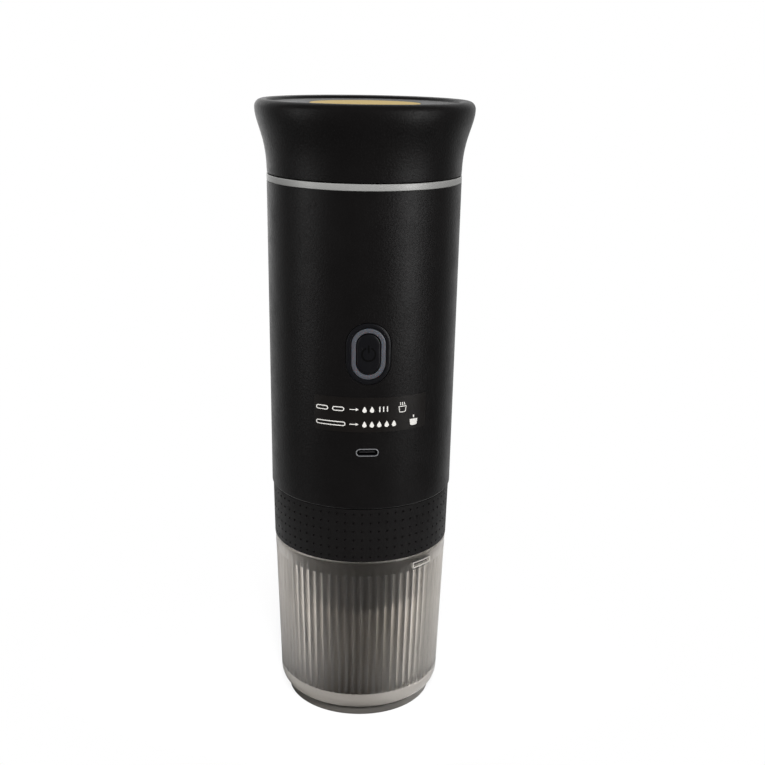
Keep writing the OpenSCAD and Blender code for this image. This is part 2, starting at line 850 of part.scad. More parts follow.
module usb_socket() {
    mouth = -(body_r(z_port) - port_inset);
    back = board_front - port_back_t;
    tongue_w = port_w - 2 * port_tongue_margin;
    tongue_l = back - mouth - port_tongue_in;
    color(steel) {
        difference() {
            stadium_bar(port_w, port_h, mouth, board_front, z_port);
            stadium_bar(port_w - 2 * port_shell_t, port_h - 2 * port_shell_t, mouth - over, back, z_port);
        }
        translate([-tongue_w / 2, mouth + port_tongue_in, z_port - port_tongue_t / 2])
            cube([tongue_w, tongue_l + eps, port_tongue_t]);
    }
}

// Electronics and frame in the bay

module main_board() {
    color(board_green) difference() {
        translate([-board_w / 2, board_front, z_board0]) cube([board_w, board_t, z_board1 - z_board0]);
        for (s = [-1, 1], up = board_screw_up) translate([s * rail_x, board_front - eps, z_board0 + up])
            rotate([-90, 0, 0]) cylinder(r = screw_r + fit, h = board_t + 2 * eps, $fn = 32);
    }
}

module board_screws() {
    color(steel) for (s = [-1, 1], up = board_screw_up) translate([s * rail_x, board_front, z_board0 + up])
        rotate([-90, 0, 0]) screw(board_t + board_grip);
}

module chassis() {
    color("#4a4a4c") difference() {
        union() {
            translate([0, 0, z_deck0]) cylinder(r = deck_r, h = deck_t);
            at_angles(post_angles, post_ring_r) translate([0, 0, z_deck0])
                cylinder(r = post_r, h = z_upper0 - z_deck0, $fn = 48);
            for (s = [-1, 1]) translate([s * rail_x - rail_w / 2, board_back, z_deck0])
                cube([rail_w, rail_d, z_upper0 - z_deck0]);
        }
        hole(0, 0, z_deck0, valve_r + fit, deck_t);
        at_angles(post_angles, post_ring_r) {
            hole(0, 0, z_deck0, screw_r + fit, screw_grip + screw_room);
            hole(0, 0, z_upper0 - screw_grip, screw_r + fit, screw_grip);
        }
        for (s = [-1, 1], up = board_screw_up) translate([s * rail_x, board_back - eps, z_board0 + up])
            rotate([-90, 0, 0]) cylinder(r = screw_r + fit, h = board_grip + board_grip_room, $fn = 32);
    }
}

module battery_cells() {
    color("#3f6f9a") at_angles(cell_angles, cell_ring_r) {
        translate([0, 0, z_cell0]) cylinder(r = cell_r, h = cell_l - cell_cap_h);
        translate([0, 0, z_cell1 - cell_cap_h - eps])
            cylinder(r = cell_cap_r, h = cell_cap_h + eps, $fn = 48);
    }
}

module battery_contacts() {
    tab_in = cell_r + tab_reach;
    tab_t = z_upper0 - fit - z_cell1;
    color("#c9c6bd") at_angles(cell_angles, cell_ring_r) {
        translate([-strip_l / 2, -strip_w / 2, z_deck1]) cube([strip_l, strip_w, contact_t]);
        translate([-tab_in, -tab_w / 2, z_cell1]) cube([tab_in + strip_l / 2, tab_w, tab_t]);
    }
}

module battery_leads() {
    back_y = cell_ring_r - cell_r - tab_reach + wire_elbow_r;
    level = z_cell1 - 2 * wire_elbow_r;
    side = tab_w / 2 - wire_elbow_r;
    color("#a32a22") for (s = [-1, 1]) wire([
        [s * side, back_y, z_cell1], [s * side, back_y, level], [s * side, board_back, level]]);
}

module pump_manifold() {
    color("#e6e2d8") difference() {
        translate([0, 0, z_deck1]) cylinder(r = pump_r, h = manifold_h);
        translate([0, 0, z_deck1 - eps]) cylinder(r = valve_orifice_r, h = manifold_h / 2);
        rotate([0, 0, tube_azimuth]) translate([0, 0, z_inlet]) rotate([0, 90, 0])
            cylinder(r = tube_bore_r, h = pump_r + over);
    }
}

module pump_diaphragm() {
    color(rubber) translate([0, 0, z_manifold1]) cylinder(r = pump_r, h = diaphragm_t);
}

module pump_case() {
    color("#2f3236") difference() {
        translate([0, 0, z_diaphragm1]) cylinder(r = pump_r, h = case_h);
        translate([0, 0, z_diaphragm1 - eps]) cylinder(r = pump_r - case_wall, h = case_h - case_wall);
        translate([0, 0, z_diaphragm1]) cylinder(r = shaft_r + shaft_hole_gap, h = case_h + eps);
    }
}

module pump_motor() {
    color("#9a9da1") difference() {
        translate([0, 0, z_case1]) cylinder(r = motor_r, h = motor_l);
        translate([0, 0, z_case1 - eps])
            cylinder(r = shaft_r + bore_gap, h = shaft_in_motor + shaft_hole_gap, $fn = 48);
    }
}

module pump_shaft() {
    cam0 = z_diaphragm1 + cam_gap;
    color(steel) {
        translate([0, 0, cam0]) cylinder(r = shaft_r, h = z_case1 + shaft_in_motor - cam0, $fn = 48);
        translate([cam_offset, 0, cam0]) cylinder(r = cam_r, h = cam_h);
    }
}

module motor_leads() {
    level = z_motor1 + 2 * wire_elbow_r;
    color("#26262a") for (s = [-1, 1]) wire([
        [s * motor_lead_x, 0, z_motor1], [s * motor_lead_x, 0, level],
        [s * motor_lead_x, board_back, level]]);
}

module inlet_tube() {
    top = z_upper0 - tube_end_gap;
    low = z_inlet + tube_bend_r;
    color("#d9d7d2", 0.8) rotate([0, 0, tube_azimuth]) difference() {
        tube_path(tube_r, top, low, 0);
        tube_path(tube_bore_r, top, low, eps);
    }
}

// Down from the tank, round a bend and in to the pump's side
module tube_path(r, top, low, past) {
    near = pump_r + tube_seat_gap;
    translate([tube_ring_r, 0, low]) cylinder(r = r, h = top - low + past);
    translate([tube_ring_r - tube_bend_r, 0, low]) rotate([90, 0, 0]) rotate_extrude(angle = -90)
        translate([tube_bend_r, 0]) circle(r = r);
    translate([near - past, 0, z_inlet]) rotate([0, 90, 0])
        cylinder(r = r, h = tube_ring_r - tube_bend_r - near + past);
}

// Heater and tank

// Cut for the tank outlet's stem through a plate of thickness t that starts at height z
module stem_hole(z, t) {
    rotate([0, 0, tube_azimuth]) hole(tube_ring_r, 0, z, stem_r + fit, t);
}

module heater_deck() {
    notch_back = flange_back + button_travel + notch_room;
    color("#4a4a4c") difference() {
        translate([0, 0, z_upper0]) cylinder(r = upper_deck_r, h = upper_deck_t);
        stem_hole(z_upper0, upper_deck_t);
        at_angles(post_angles, post_ring_r) {
            hole(0, 0, z_upper0, screw_r + fit, upper_deck_t);
            translate([0, 0, z_upper1 - screw_head_h])
                cylinder(r = screw_head_r + fit, h = screw_head_h + over, $fn = 32);
        }
        translate([-deck_notch_w / 2, -upper_deck_r - over, z_upper0 - eps])
            cube([deck_notch_w, upper_deck_r + over + notch_back, upper_deck_t + 2 * eps]);
    }
}

module deck_screws() {
    color(steel) at_angles(post_angles, post_ring_r) translate([0, 0, z_upper1 - screw_head_h])
        mirror([0, 0, 1]) screw(upper_deck_t - screw_head_h + screw_grip - screw_room);
}

module heat_pad() {
    color("#c7c1b2") difference() {
        translate([0, 0, z_upper1]) cylinder(r = pad_r, h = pad_t);
        stem_hole(z_upper1, pad_t);
    }
}

module heater_plate() {
    color("#c3c5c8") difference() {
        translate([0, 0, z_heater0]) cylinder(r = heater_r, h = heater_t);
        stem_hole(z_heater0, heater_t);
        translate([0, heater_r + eps, z_heater0 + heater_t / 2]) rotate([90, 0, 0])
            cylinder(r = sensor_r + fit, h = sensor_l, $fn = 32);
    }
}

module temp_sensor() {
    color(black_gloss) translate([0, heater_r + sensor_out, z_heater0 + heater_t / 2]) rotate([90, 0, 0])
        cylinder(r = sensor_r, h = sensor_l, $fn = 32);
}

module tank_outlet() {
    floor_top = z_tank0 + tank_wall;
    barb0 = z_upper0 - barb_l;
    barb_r = tube_bore_r - bore_gap;
    color(brass) rotate([0, 0, tube_azimuth]) translate([tube_ring_r, 0, 0]) difference() {
        union() {
            translate([0, 0, floor_top]) cylinder(r = outlet_flange_r, h = outlet_flange_t);
            translate([0, 0, z_upper0]) cylinder(r = stem_r, h = floor_top - z_upper0 + eps);
            translate([0, 0, barb0]) cylinder(r = barb_r, h = barb_l + eps);
        }
        hole(0, 0, barb0, barb_r - barb_wall, floor_top + outlet_flange_t - barb0);
    }
}

module water_tank() {
    color(steel) difference() {
        rotate_extrude() polygon([
            [0, z_tank0], [tank_out_r, z_tank0], [tank_out_r, z_neck1], [tank_flange_r, z_neck1],
            [tank_flange_r, z_tank1], [tank_r, z_tank1], [tank_r, z_tank0 + tank_wall],
            [0, z_tank0 + tank_wall]]);
        stem_hole(z_tank0, tank_wall);
    }
}

module tank_neck() {
    color(black_matte) {
        rotate_extrude() polygon([
            [neck_in_r, z_neck_flange], [neck_flange_r, z_neck_flange], [neck_flange_r, z_body1],
            [neck_r, z_body1], [neck_r, z_neck1], [neck_in_r, z_neck1]]);
        thread(neck_r, 1, z_neck_thread);
    }
}

// Lid

module lid_seal() {
    color(white_rubber) ring(tank_flange_r, seal_in_r, z_tank1, z_seal1);
}

module lid_liner() {
    liner0 = z_lid0 + liner_lift;
    boss_r = seal_in_r - slide_gap;
    color("#2a2a2b") {
        difference() {
            rotate_extrude() polygon([
                [liner_in_r, liner0], [liner_out_r, liner0], [liner_out_r, z_liner1], [0, z_liner1],
                [0, z_boss0], [boss_r, z_boss0], [boss_r, z_seal1], [liner_in_r, z_seal1]]);
            hole(0, 0, z_boss0, vent_r + fit, z_liner1 - z_boss0);
        }
        thread(liner_in_r, -1, z_neck_thread - thread_pitch / 2);
    }
}

module lid_vent() {
    color(white_rubber) difference() {
        union() {
            translate([0, 0, z_boss0]) cylinder(r = vent_r, h = z_liner1 - z_boss0);
            translate([0, 0, z_liner1]) cylinder(r = vent_cap_r, h = vent_cap_t);
        }
        translate([0, 0, z_boss0 - eps]) cylinder(r = vent_bore_r, h = z_liner1 - z_boss0, $fn = 32);
    }
}

// Point of the lid's flared side: straight up at the seam, and straight up again at the rim
function flare(t) =
    let (h = lid_h - lid_lip_r, low_pull = 0.56 * h, high_pull = 0.25 * h)
    [lid_low_r + (lid_rim_r - lid_low_r) * (3 * t * t - 2 * t * t * t),
     z_lid0 + 3 * (1 - t) * (1 - t) * t * low_pull + 3 * (1 - t) * t * t * (h - high_pull) + t * t * t * h];

module lid_shell() {
    flare_steps = 14;
    lip_steps = 8;
    side = [for (i = [0:flare_steps]) flare(i / flare_steps)];
    lip = [for (i = [1:lip_steps]) let (t = 90 * i / lip_steps)
        [lid_rim_r - lid_lip_r * (1 - cos(t)), z_lid1 - lid_lip_r * (1 - sin(t))]];
    pocket_r = disc_d / 2 + fit;
    color(black_matte) rotate_extrude() polygon(concat(side, lip, [
        [dish_r, z_lid1 - lip_fall], [dish_r - lid_dish + lip_fall, z_dish], [pocket_r, z_dish],
        [pocket_r, z_pocket], [0, z_pocket], [0, z_lid_roof], [lid_roof_r, z_lid_roof],
        [lid_roof_r, z_liner1], [liner_out_r + fit, z_liner1], [liner_out_r + fit, z_lid0]]));
}

module lid_disc() {
    color(gold) translate([0, 0, z_pocket]) cylinder(d = disc_d, h = disc_t);
}

cup();
brew_chamber();
grip_sleeve();
cup_seal();
coffee_basket();
filter_screen();
spout();
brew_gasket();
brew_head();
base_screws();
needle_plate();
plate_screws();
check_valve();
body_shell();
trim_ring();
label();
button_bezel();
light_ring();
button();
switch_plunger();
switch_body();
usb_socket();
main_board();
board_screws();
chassis();
battery_cells();
battery_contacts();
battery_leads();
pump_manifold();
pump_diaphragm();
pump_case();
pump_motor();
pump_shaft();
motor_leads();
inlet_tube();
heater_deck();
deck_screws();
heat_pad();
heater_plate();
temp_sensor();
tank_outlet();
water_tank();
tank_neck();
lid_seal();
lid_liner();
lid_vent();
lid_shell();
lid_disc();
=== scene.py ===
"""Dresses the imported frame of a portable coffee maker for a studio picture.

The outside pieces are modelled over the CAD solids that they stand for, and every CAD node that stays
gets a procedural finish. Lengths are metres, and a name that ends in _mm holds millimetres.
"""

import math

import bmesh
import bpy
from mathutils import Matrix, Vector


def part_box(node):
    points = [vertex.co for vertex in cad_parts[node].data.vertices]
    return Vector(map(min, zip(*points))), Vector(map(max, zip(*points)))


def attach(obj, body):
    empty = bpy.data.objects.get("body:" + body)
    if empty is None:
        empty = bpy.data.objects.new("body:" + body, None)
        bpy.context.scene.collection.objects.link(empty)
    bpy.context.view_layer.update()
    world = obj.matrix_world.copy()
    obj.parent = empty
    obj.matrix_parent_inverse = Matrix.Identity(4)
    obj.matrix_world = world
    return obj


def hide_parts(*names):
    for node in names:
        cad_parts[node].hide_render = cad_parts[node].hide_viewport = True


bl_info = {
    "name": "Portable coffee maker",
    "version": (1, 0, 0),
    "blender": (4, 5, 0),
    "location": "View3D > Sidebar > Coffee maker",
    "description": "Models and finishes the outside of a portable coffee maker on its CAD frame",
    "category": "Object",
}

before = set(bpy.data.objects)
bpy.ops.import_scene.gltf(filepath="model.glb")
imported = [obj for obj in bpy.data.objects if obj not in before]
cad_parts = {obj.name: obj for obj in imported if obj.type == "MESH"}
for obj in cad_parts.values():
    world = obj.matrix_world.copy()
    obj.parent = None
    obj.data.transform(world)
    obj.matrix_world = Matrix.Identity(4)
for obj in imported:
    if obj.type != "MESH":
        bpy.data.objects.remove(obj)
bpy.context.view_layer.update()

MM = 0.001
PICTURE = 765
SENSOR_MM = 36.0
SIDES = 256
ROUND_END_SIDES = 98
ARC_STEPS = 6
# Most of a side that a rounding may take
ARC_SHARE = 0.49
# Distances within which points are one, and within which they are at one level
MERGE = 2e-6
NEAR = 10 * MERGE
SMOOTH_ANGLE = math.radians(32)
COLUMN = 1.0 * MM
FACING_FRONT = (math.pi / 2, 0, 0)
PATCH_DETAIL = 3.0
GRAIN_DETAIL = 2.0
# Span of the product of the two noises of a finish
GLOSS_RANGE = (0.1, 0.45)


# Properties

def linear(hex_colour):
    """Linear RGB of an sRGB hex value such as #1b1a1a."""
    levels = [int(hex_colour[i:i + 2], 16) / 255 for i in (1, 3, 5)]
    return tuple(c / 12.92 if c <= 0.04045 else ((c + 0.055) / 1.055) ** 2.4 for c in levels)


def length(name, description, default):
    """A size in metres that a user can change."""
    return bpy.props.FloatProperty(
        name=name, description=description, default=default, unit="LENGTH", precision=5)


def number(name, description, default, least):
    """A number of like features that a user can change."""
    return bpy.props.IntProperty(name=name, description=description, default=default, min=least)


def colour(name, description, hex_colour):
    """A colour that a user can change."""
    return bpy.props.FloatVectorProperty(
        name=name, description=description, default=linear(hex_colour), size=3, subtype="COLOR", min=0, max=1)


def top_of(node):
    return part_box(node)[1][2]


def foot_of(node):
    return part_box(node)[0][2]


def radius_of(node):
    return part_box(node)[1][0]


def height_of(node):
    return top_of(node) - foot_of(node)


def middle_of(node):
    return (top_of(node) + foot_of(node)) / 2


def across(node):
    """Middle and width of a node from left to right."""
    low, high = (corner[0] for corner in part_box(node))
    return (low + high) / 2, high - low


class CoffeeMakerSizes(bpy.types.PropertyGroup):
    """Sizes of the modelled pieces, most of them read from the CAD frame."""

    lid_low: length("Lid foot", "Level of the lid's lower edge", foot_of("lid_shell"))
    lid_top: length("Lid top", "Level of the lid's raised lip", top_of("lid_shell"))
    lid_low_radius: length("Lid foot radius", "Radius of the lid at the bright ring", 38.45 * MM)
    lid_rim_radius: length("Lid rim radius", "Radius of the lid's flared rim", radius_of("lid_shell"))
    lid_lip_radius: length("Lip rounding", "Radius that rounds the lid's rim", 3.0 * MM)
    lid_lip_width: length("Lip width", "Width of the raised lip around the dish", 4.6 * MM)
    lid_dish: length("Dish depth", "Depth of the dish in the lid's top",
                     top_of("lid_shell") - top_of("lid_disc"))
    disc_radius: length("Disc radius", "Radius of the gold-coloured disc", radius_of("lid_disc"))
    disc_thickness: length("Disc thickness", "Thickness of the disc", height_of("lid_disc"))
    ring_low: length("Ring foot", "Level of the bright ring's lower face", foot_of("trim_ring"))
    ring_top: length("Ring top", "Level of the bright ring's upper face", top_of("trim_ring"))
    ring_radius: length("Ring radius", "Outside radius of the bright ring", radius_of("trim_ring"))
    ring_bore: length("Ring bore", "Inside radius of the bright ring", 31.75 * MM)
    body_low: length("Shell foot", "Level of the shell's lower edge", foot_of("body_shell"))
    body_top: length("Shell top", "Level of the shell's upper edge", top_of("body_shell"))
    body_low_radius: length("Shell foot radius", "Radius of the shell at its lower edge", 37.45 * MM)
    body_top_radius: length("Shell top radius", "Radius of the shell at its upper edge",
                            radius_of("body_shell"))
    body_wall: length("Shell wall", "Wall thickness of the shell", 2.2 * MM)
    deck_ledge: length("Deck ledge", "Level of the ledge that holds the heater deck", 172.5 * MM)
    neck_ledge: length("Neck ledge", "Level of the ledge under the tank's neck", foot_of("tank_neck"))
    button_level: length("Button level", "Level of the button's middle", middle_of("button_bezel"))
    bezel_width: length("Frame width", "Width of the cut-out for the button's frame", 17.4 * MM)
    bezel_height: length("Frame height", "Height of the cut-out for the button's frame", 24.4 * MM)
    light_width: length("Light ring width", "Width of the light ring's seat", 13.4 * MM)
    light_height: length("Light ring height", "Height of the light ring's seat", 20.3 * MM)
    button_width: length("Button width", "Width of the button", 9.0 * MM)
    button_height: length("Button height", "Height of the button", 15.7 * MM)
    label_level: length("Label level", "Level of the label's middle", middle_of("label"))
    label_right: length("Label offset", "How far the label's middle lies right of the button",
                        across("label")[0])
    label_width: length("Label width", "Width of the label, straight across", across("label")[1])
    label_height: length("Label height", "Height of the label", height_of("label"))
    port_level: length("Port level", "Level of the charging port's middle", middle_of("usb_socket"))
    port_width: length("Port width", "Width of the port's metal shell", 8.94 * MM)
    port_height: length("Port height", "Height of the port's metal shell", 3.2 * MM)
    grip_low: length("Grip foot", "Level of the grip band's lower edge", foot_of("grip_sleeve"))
    grip_top: length("Grip top", "Level of the grip band's upper edge", top_of("grip_sleeve"))
    grip_low_radius: length("Grip foot radius", "Radius of the band at its lower edge", 36.5 * MM)
    grip_top_radius: length("Grip top radius", "Radius of the band at its upper edge",
                            radius_of("grip_sleeve"))
    grip_bore: length("Grip bore", "Inside radius of the grip band", 35.2 * MM)
    grip_columns: number("Dimple columns", "Dimples around the band", 68, 12)
    grip_rows: number("Dimple rows", "Rows of dimples on the band", 6, 1)
    grip_pitch: length("Row pitch", "Distance between two rows of dimples", 3.7 * MM)
    dimple_radius: length("Dimple radius", "Radius of a dimple's mouth", 0.5 * MM)
    dimple_depth: length("Dimple depth", "Depth of a dimple", 0.6 * MM)
    cup_top: length("Cup rim", "Level of the cup's rim", top_of("cup"))
    cup_rim_radius: length("Cup rim radius", "Outside radius of the cup at its rim", radius_of("cup"))
    cup_base_radius: length("Cup base radius", "Outside radius of the cup above its corner", 34.1 * MM)
    cup_wall: length("Cup wall", "Wall thickness of the cup", 2.0 * MM)
    cup_floor: length("Cup floor", "Thickness of the cup's floor", 6.2 * MM)
    corner_height: length("Corner height", "Height of the cup's rounded corner", 5.6 * MM)
    corner_in: length("Corner draw", "How far the rounded corner draws in", 3.3 * MM)
    foot_radius: length("Foot radius", "Outside radius of the foot ring", 30.6 * MM)
    foot_height: length("Foot height", "Height of the foot ring", 4.2 * MM)
    foot_land: length("Foot land", "Width of the foot ring's flat face", 3.0 * MM)
    foot_groove: length("Foot groove", "Height of the groove above the foot ring", 1.0 * MM)
    rib_count: number("Ribs", "Upright ribs around the cup", 68, 12)
    rib_depth: length("Rib depth", "Depth of the valley between two ribs", 0.6 * MM)
    rib_low: length("Rib foot", "Level where the ribs start", 11.6 * MM)
    rib_top: length("Rib top", "Level where the ribs end", 66.4 * MM)
    window_width: length("Window width", "Length of a vent window around the cup", 9.6 * MM)
    window_height: length("Window height", "Height of a vent window", 1.8 * MM)
    window_drop: length("Window drop", "Distance from the rim down to a vent window", 3.5 * MM)
    window_azimuth: bpy.props.FloatProperty(
        name="Window direction", description="Direction of a vent window, right of the button",
        default=math.radians(41.2), subtype="ANGLE")


class CoffeeMakerColours(bpy.types.PropertyGroup):
    """Colours of the finishes that a user would change first."""

    shell_black: colour("Shell black", "Moulded black of the shell and lid", "#0b0a0a")
    frame_black: colour("Frame black", "Satin black of the button and its frame", "#0b0b0d")
    grip_black: colour("Grip black", "Black of the dotted band", "#0f0e0e")
    light_grey: colour("Light grey", "Grey of the unlit light ring", "#404146")
    label_black: colour("Label black", "Film of the label", "#0f0d0c")
    print_white: colour("Print white", "Ink of the label's signs", "#bebcb8")
    ring_silver: colour("Ring silver", "Satin silver of the bright ring", "#929290")
    disc_gold: colour("Disc gold", "Gold tone of the lid's disc", "#ccae5c")
    smoke_grey: colour("Smoke grey", "Tint of the see-through cup", "#f6efe6")
    backdrop: colour("Backdrop", "Floor and background", "#ffffff")


def sizes():
    return bpy.context.scene.coffee_maker_sizes


def colours():
    return bpy.context.scene.coffee_maker_colours


# Modelling by operators

def begin():
    """Object mode with nothing selected, as every piece starts."""
    if bpy.context.mode != "OBJECT":
        bpy.ops.object.mode_set(mode="OBJECT")
    bpy.ops.object.select_all(action="DESELECT")


def edit(piece):
    """Edit mode on one piece alone."""
    begin()
    bpy.context.view_layer.objects.active = piece
    piece.select_set(True)
    bpy.ops.object.mode_set(mode="EDIT")


def pick(piece, kind, test):
    """In edit mode, selects the vertices, edges or faces that pass the test."""
    bpy.ops.mesh.select_mode(type=kind)
    bpy.ops.mesh.select_all(action="DESELECT")
    shape = bmesh.from_edit_mesh(piece.data)
    parts = {"VERT": shape.verts, "EDGE": shape.edges, "FACE": shape.faces}[kind]
    found = [part for part in parts if test(part)]
    for part in found:
        part.select_set(True)
    bmesh.update_edit_mesh(piece.data)
    if not found:
        raise RuntimeError(f"nothing to select on {piece.name}")


def place(piece):
    """Moves the object's place, turn and size into its mesh."""
    begin()
    bpy.context.view_layer.objects.active = piece
    piece.select_set(True)
    bpy.ops.object.transform_apply(location=True, rotation=True, scale=True)


def move(piece, x, y, z):
    """Moves a piece, with the move in its mesh."""
    begin()
    piece.location = (x, y, z)
    place(piece)


def close_up(piece):
    """Merges doubles, turns the faces outwards and smooths all but the sharp edges."""
    edit(piece)
    bpy.ops.mesh.select_all(action="SELECT")
    bpy.ops.mesh.remove_doubles(threshold=MERGE)
    bpy.ops.mesh.normals_make_consistent(inside=False)
    if bmesh.from_edit_mesh(piece.data).calc_volume(signed=True) < 0:
        bpy.ops.mesh.flip_normals()
    bpy.ops.object.mode_set(mode="OBJECT")
    bpy.ops.object.shade_smooth_by_angle(angle=SMOOTH_ANGLE)


def modify(piece, kind, **settings):
    """Adds one modifier with its settings and applies it."""
    begin()
    bpy.context.view_layer.objects.active = piece
    piece.select_set(True)
    modifier = piece.modifiers.new(kind.lower(), kind)
    for name, value in settings.items():
        setattr(modifier, name, value)
    bpy.ops.object.modifier_apply(modifier=modifier.name)


def cut(piece, cutter):
    """Cuts one piece by another, which is then deleted."""
    modify(piece, "BOOLEAN", operation="DIFFERENCE", solver="EXACT", object=cutter)
    bpy.data.objects.remove(cutter, do_unlink=True)


def join(name, parts):
    """Joins parts into one piece."""
    begin()
    for part in parts:
        part.select_set(True)
    bpy.context.view_layer.objects.active = parts[0]
    if len(parts) > 1:
        bpy.ops.object.join()
    parts[0].name = name
    return parts[0]


def rounded(outline):
    """Outline points from corners (radius, level, rounding), with an arc at each rounded corner."""
    points = []
    for i, (radius, level, rounding) in enumerate(outline):
        corner = Vector((radius, level))
        if not rounding or i in (0, len(outline) - 1):
            points.append(tuple(corner))
            continue
        before = Vector(outline[i - 1][:2]) - corner
        after = Vector(outline[i + 1][:2]) - corner
        half = before.angle(after) / 2
        back = min(rounding / math.tan(half), ARC_SHARE * before.length, ARC_SHARE * after.length)
        rounding = back * math.tan(half)
        middle = corner + (before.normalized() + after.normalized()).normalized() * rounding / math.sin(half)
        first = corner + before.normalized() * back - middle
        last = corner + after.normalized() * back - middle
        sweep = first.angle_signed(last)
        for step in range(ARC_STEPS + 1):
            turn = Matrix.Rotation(-sweep * step / ARC_STEPS, 2)
            points.append(tuple(middle + turn @ first))
    return points


def quarter_circle(steps):
    """Angles from zero to a quarter turn."""
    return [math.pi / 2 * step / steps for step in range(steps + 1)]


def draw_through(outline):
    """Extrudes the picked ring of edges through an outline of (radius, level) points."""
    radius, level = outline[0]
    for next_radius, next_level in outline[1:]:
        bpy.ops.mesh.extrude_edges_indiv()
        grow = next_radius / radius
        bpy.ops.transform.resize(value=(grow, grow, 1), center_override=(0, 0, 0))
        bpy.ops.transform.translate(value=(0, 0, next_level - level))
        radius, level = next_radius, next_level


def turned(name, outline, sides=SIDES, closed=True):
    """A turned piece: a ring is added at the outline's first point and extruded through the rest.

    A closed outline comes back to its first point, and an open one is capped at both ends.
    """
    begin()
    radius, level = outline[0]
    bpy.ops.mesh.primitive_circle_add(vertices=sides, radius=radius, location=(0, 0, level))
    piece = bpy.context.object
    piece.name = name
    place(piece)
    edit(piece)
    bpy.ops.mesh.select_mode(type="EDGE")
    bpy.ops.mesh.select_all(action="SELECT")
    draw_through(outline + (outline[:1] if closed else []))
    bpy.ops.mesh.select_all(action="SELECT")
    bpy.ops.mesh.remove_doubles(threshold=MERGE)
    if not closed:
        bpy.ops.mesh.select_all(action="SELECT")
        bpy.ops.mesh.fill_holes(sides=0)
    close_up(piece)
    return piece


def block(name, size, middle=(0, 0, 0)):
    """A plain block around a point."""
    begin()
    bpy.ops.mesh.primitive_cube_add(size=1, location=middle)
    piece = bpy.context.object
    piece.name = name
    piece.scale = size
    place(piece)
    return piece


def panel(name, width, height):
    """A flat panel around the origin that faces the front, left in edit mode with its face picked."""
    begin()
    bpy.ops.mesh.primitive_plane_add(size=1, rotation=FACING_FRONT)
    piece = bpy.context.object
    piece.name = name
    piece.scale = (width, height, 1)
    place(piece)
    edit(piece)
    pick(piece, "FACE", lambda f: True)
    return piece


def disc(name, sides, radius):
    """A filled circle around the origin that faces the front, left in edit mode with its face picked."""
    begin()
    bpy.ops.mesh.primitive_circle_add(
        vertices=sides, radius=radius, fill_type="NGON", rotation=FACING_FRONT)
    piece = bpy.context.object
    piece.name = name
    place(piece)
    edit(piece)
    pick(piece, "FACE", lambda f: True)
    return piece


def round_ended(name, width, height, depth=0.0):
    """A filled round-ended outline that faces the front, left in edit mode with its face picked."""
    short, long = min(width, height), max(width, height)
    piece = disc(name, ROUND_END_SIDES, short / 2)
    for side in (1, -1):
        pick(piece, "VERT", lambda v: v.co.z * side > 0)
        bpy.ops.transform.translate(value=(0, 0, side * (long - short) / 2))
    bpy.ops.object.mode_set(mode="OBJECT")
    if width > height:
        piece.rotation_euler = (0, math.pi / 2, 0)
    move(piece, 0, depth, 0)
    edit(piece)
    pick(piece, "FACE", lambda f: True)
    return piece


def shape_front(steps):
    """Insets the picked front face step by step: each step is (inset, rise), and a rise below zero sinks."""
    for inset, rise in steps:
        bpy.ops.mesh.inset(thickness=inset, depth=rise)


def pull(distance):
    """Extrudes the picked front face by a distance towards the front, or back if it is below zero."""
    bpy.ops.mesh.extrude_region_move(TRANSFORM_OT_translate={"value": (0, -distance, 0)})


def pick_back(piece, back):
    """Picks the filled back face of a round-ended piece."""
    pick(piece, "FACE", lambda f: len(f.verts) == ROUND_END_SIDES
         and abs(f.calc_center_median().y - back) < MERGE)


def open_through(piece, back):
    """Takes out the picked front face and the back one, and bridges their edges."""
    bpy.ops.mesh.delete(type="FACE")
    pick_back(piece, back)
    bpy.ops.mesh.delete(type="FACE")
    bpy.ops.mesh.select_mode(type="EDGE")
    pick(piece, "EDGE", lambda e: e.is_boundary)
    bpy.ops.mesh.bridge_edge_loops()


def skin(level):
    """Radius of the shell's outside at a level."""
    s = sizes()
    share = (level - s.body_low) / (s.body_top - s.body_low)
    return s.body_low_radius + (s.body_top_radius - s.body_low_radius) * share


def lay_on_shell(piece, level, proud):
    """Lays a flat piece on the shell at a level: its Y becomes the depth below the skin plus proud."""
    begin()
    for vertex in piece.data.vertices:
        vertex.co.z += level
        vertex.co.y -= math.sqrt((skin(vertex.co.z) + proud) ** 2 - vertex.co.x ** 2)
    piece.data.update()


def divide(piece, width):
    """Cuts a flat piece into upright columns, so that it can follow a curve."""
    edit(piece)
    count = int(width / COLUMN)
    for i in range(-count, count + 1):
        bpy.ops.mesh.select_all(action="SELECT")
        bpy.ops.mesh.bisect(plane_co=(i * COLUMN, 0, 0), plane_no=(1, 0, 0))


def dress(piece, body, slot, *nodes, paint=None):
    """Gives a piece a finish and the body it rides on, and hides the CAD nodes that it stands for.

    paint names a finish other than the slot's own.
    """
    piece.data.materials.clear()
    piece.data.materials.append(finish(paint or slot))
    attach(piece, body)
    if nodes:
        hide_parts(*nodes)


def repaint(piece, slot, test):
    """Gives the faces that pass the test another finish."""
    piece.data.materials.append(finish(slot))
    edit(piece)
    pick(piece, "FACE", test)
    piece.active_material_index = len(piece.data.materials) - 1
    bpy.ops.object.material_slot_assign()
    begin()


# Finishes

def add(tree, kind, inputs=None, **settings):
    """Adds a node with its settings; an input is a plain value or the socket that feeds it."""
    node = tree.nodes.new(kind)
    for name, value in settings.items():
        setattr(node, name, value)
    for name, value in (inputs or {}).items():
        if isinstance(value, bpy.types.NodeSocket):
            tree.links.new(value, node.inputs[name])
        else:
            node.inputs[name].default_value = value
    return node


def shade(rgb, factor):
    """A colour made lighter or darker by a factor, as RGBA."""
    return tuple(min(c * factor, 1.0) for c in rgb[:3]) + (1.0,)


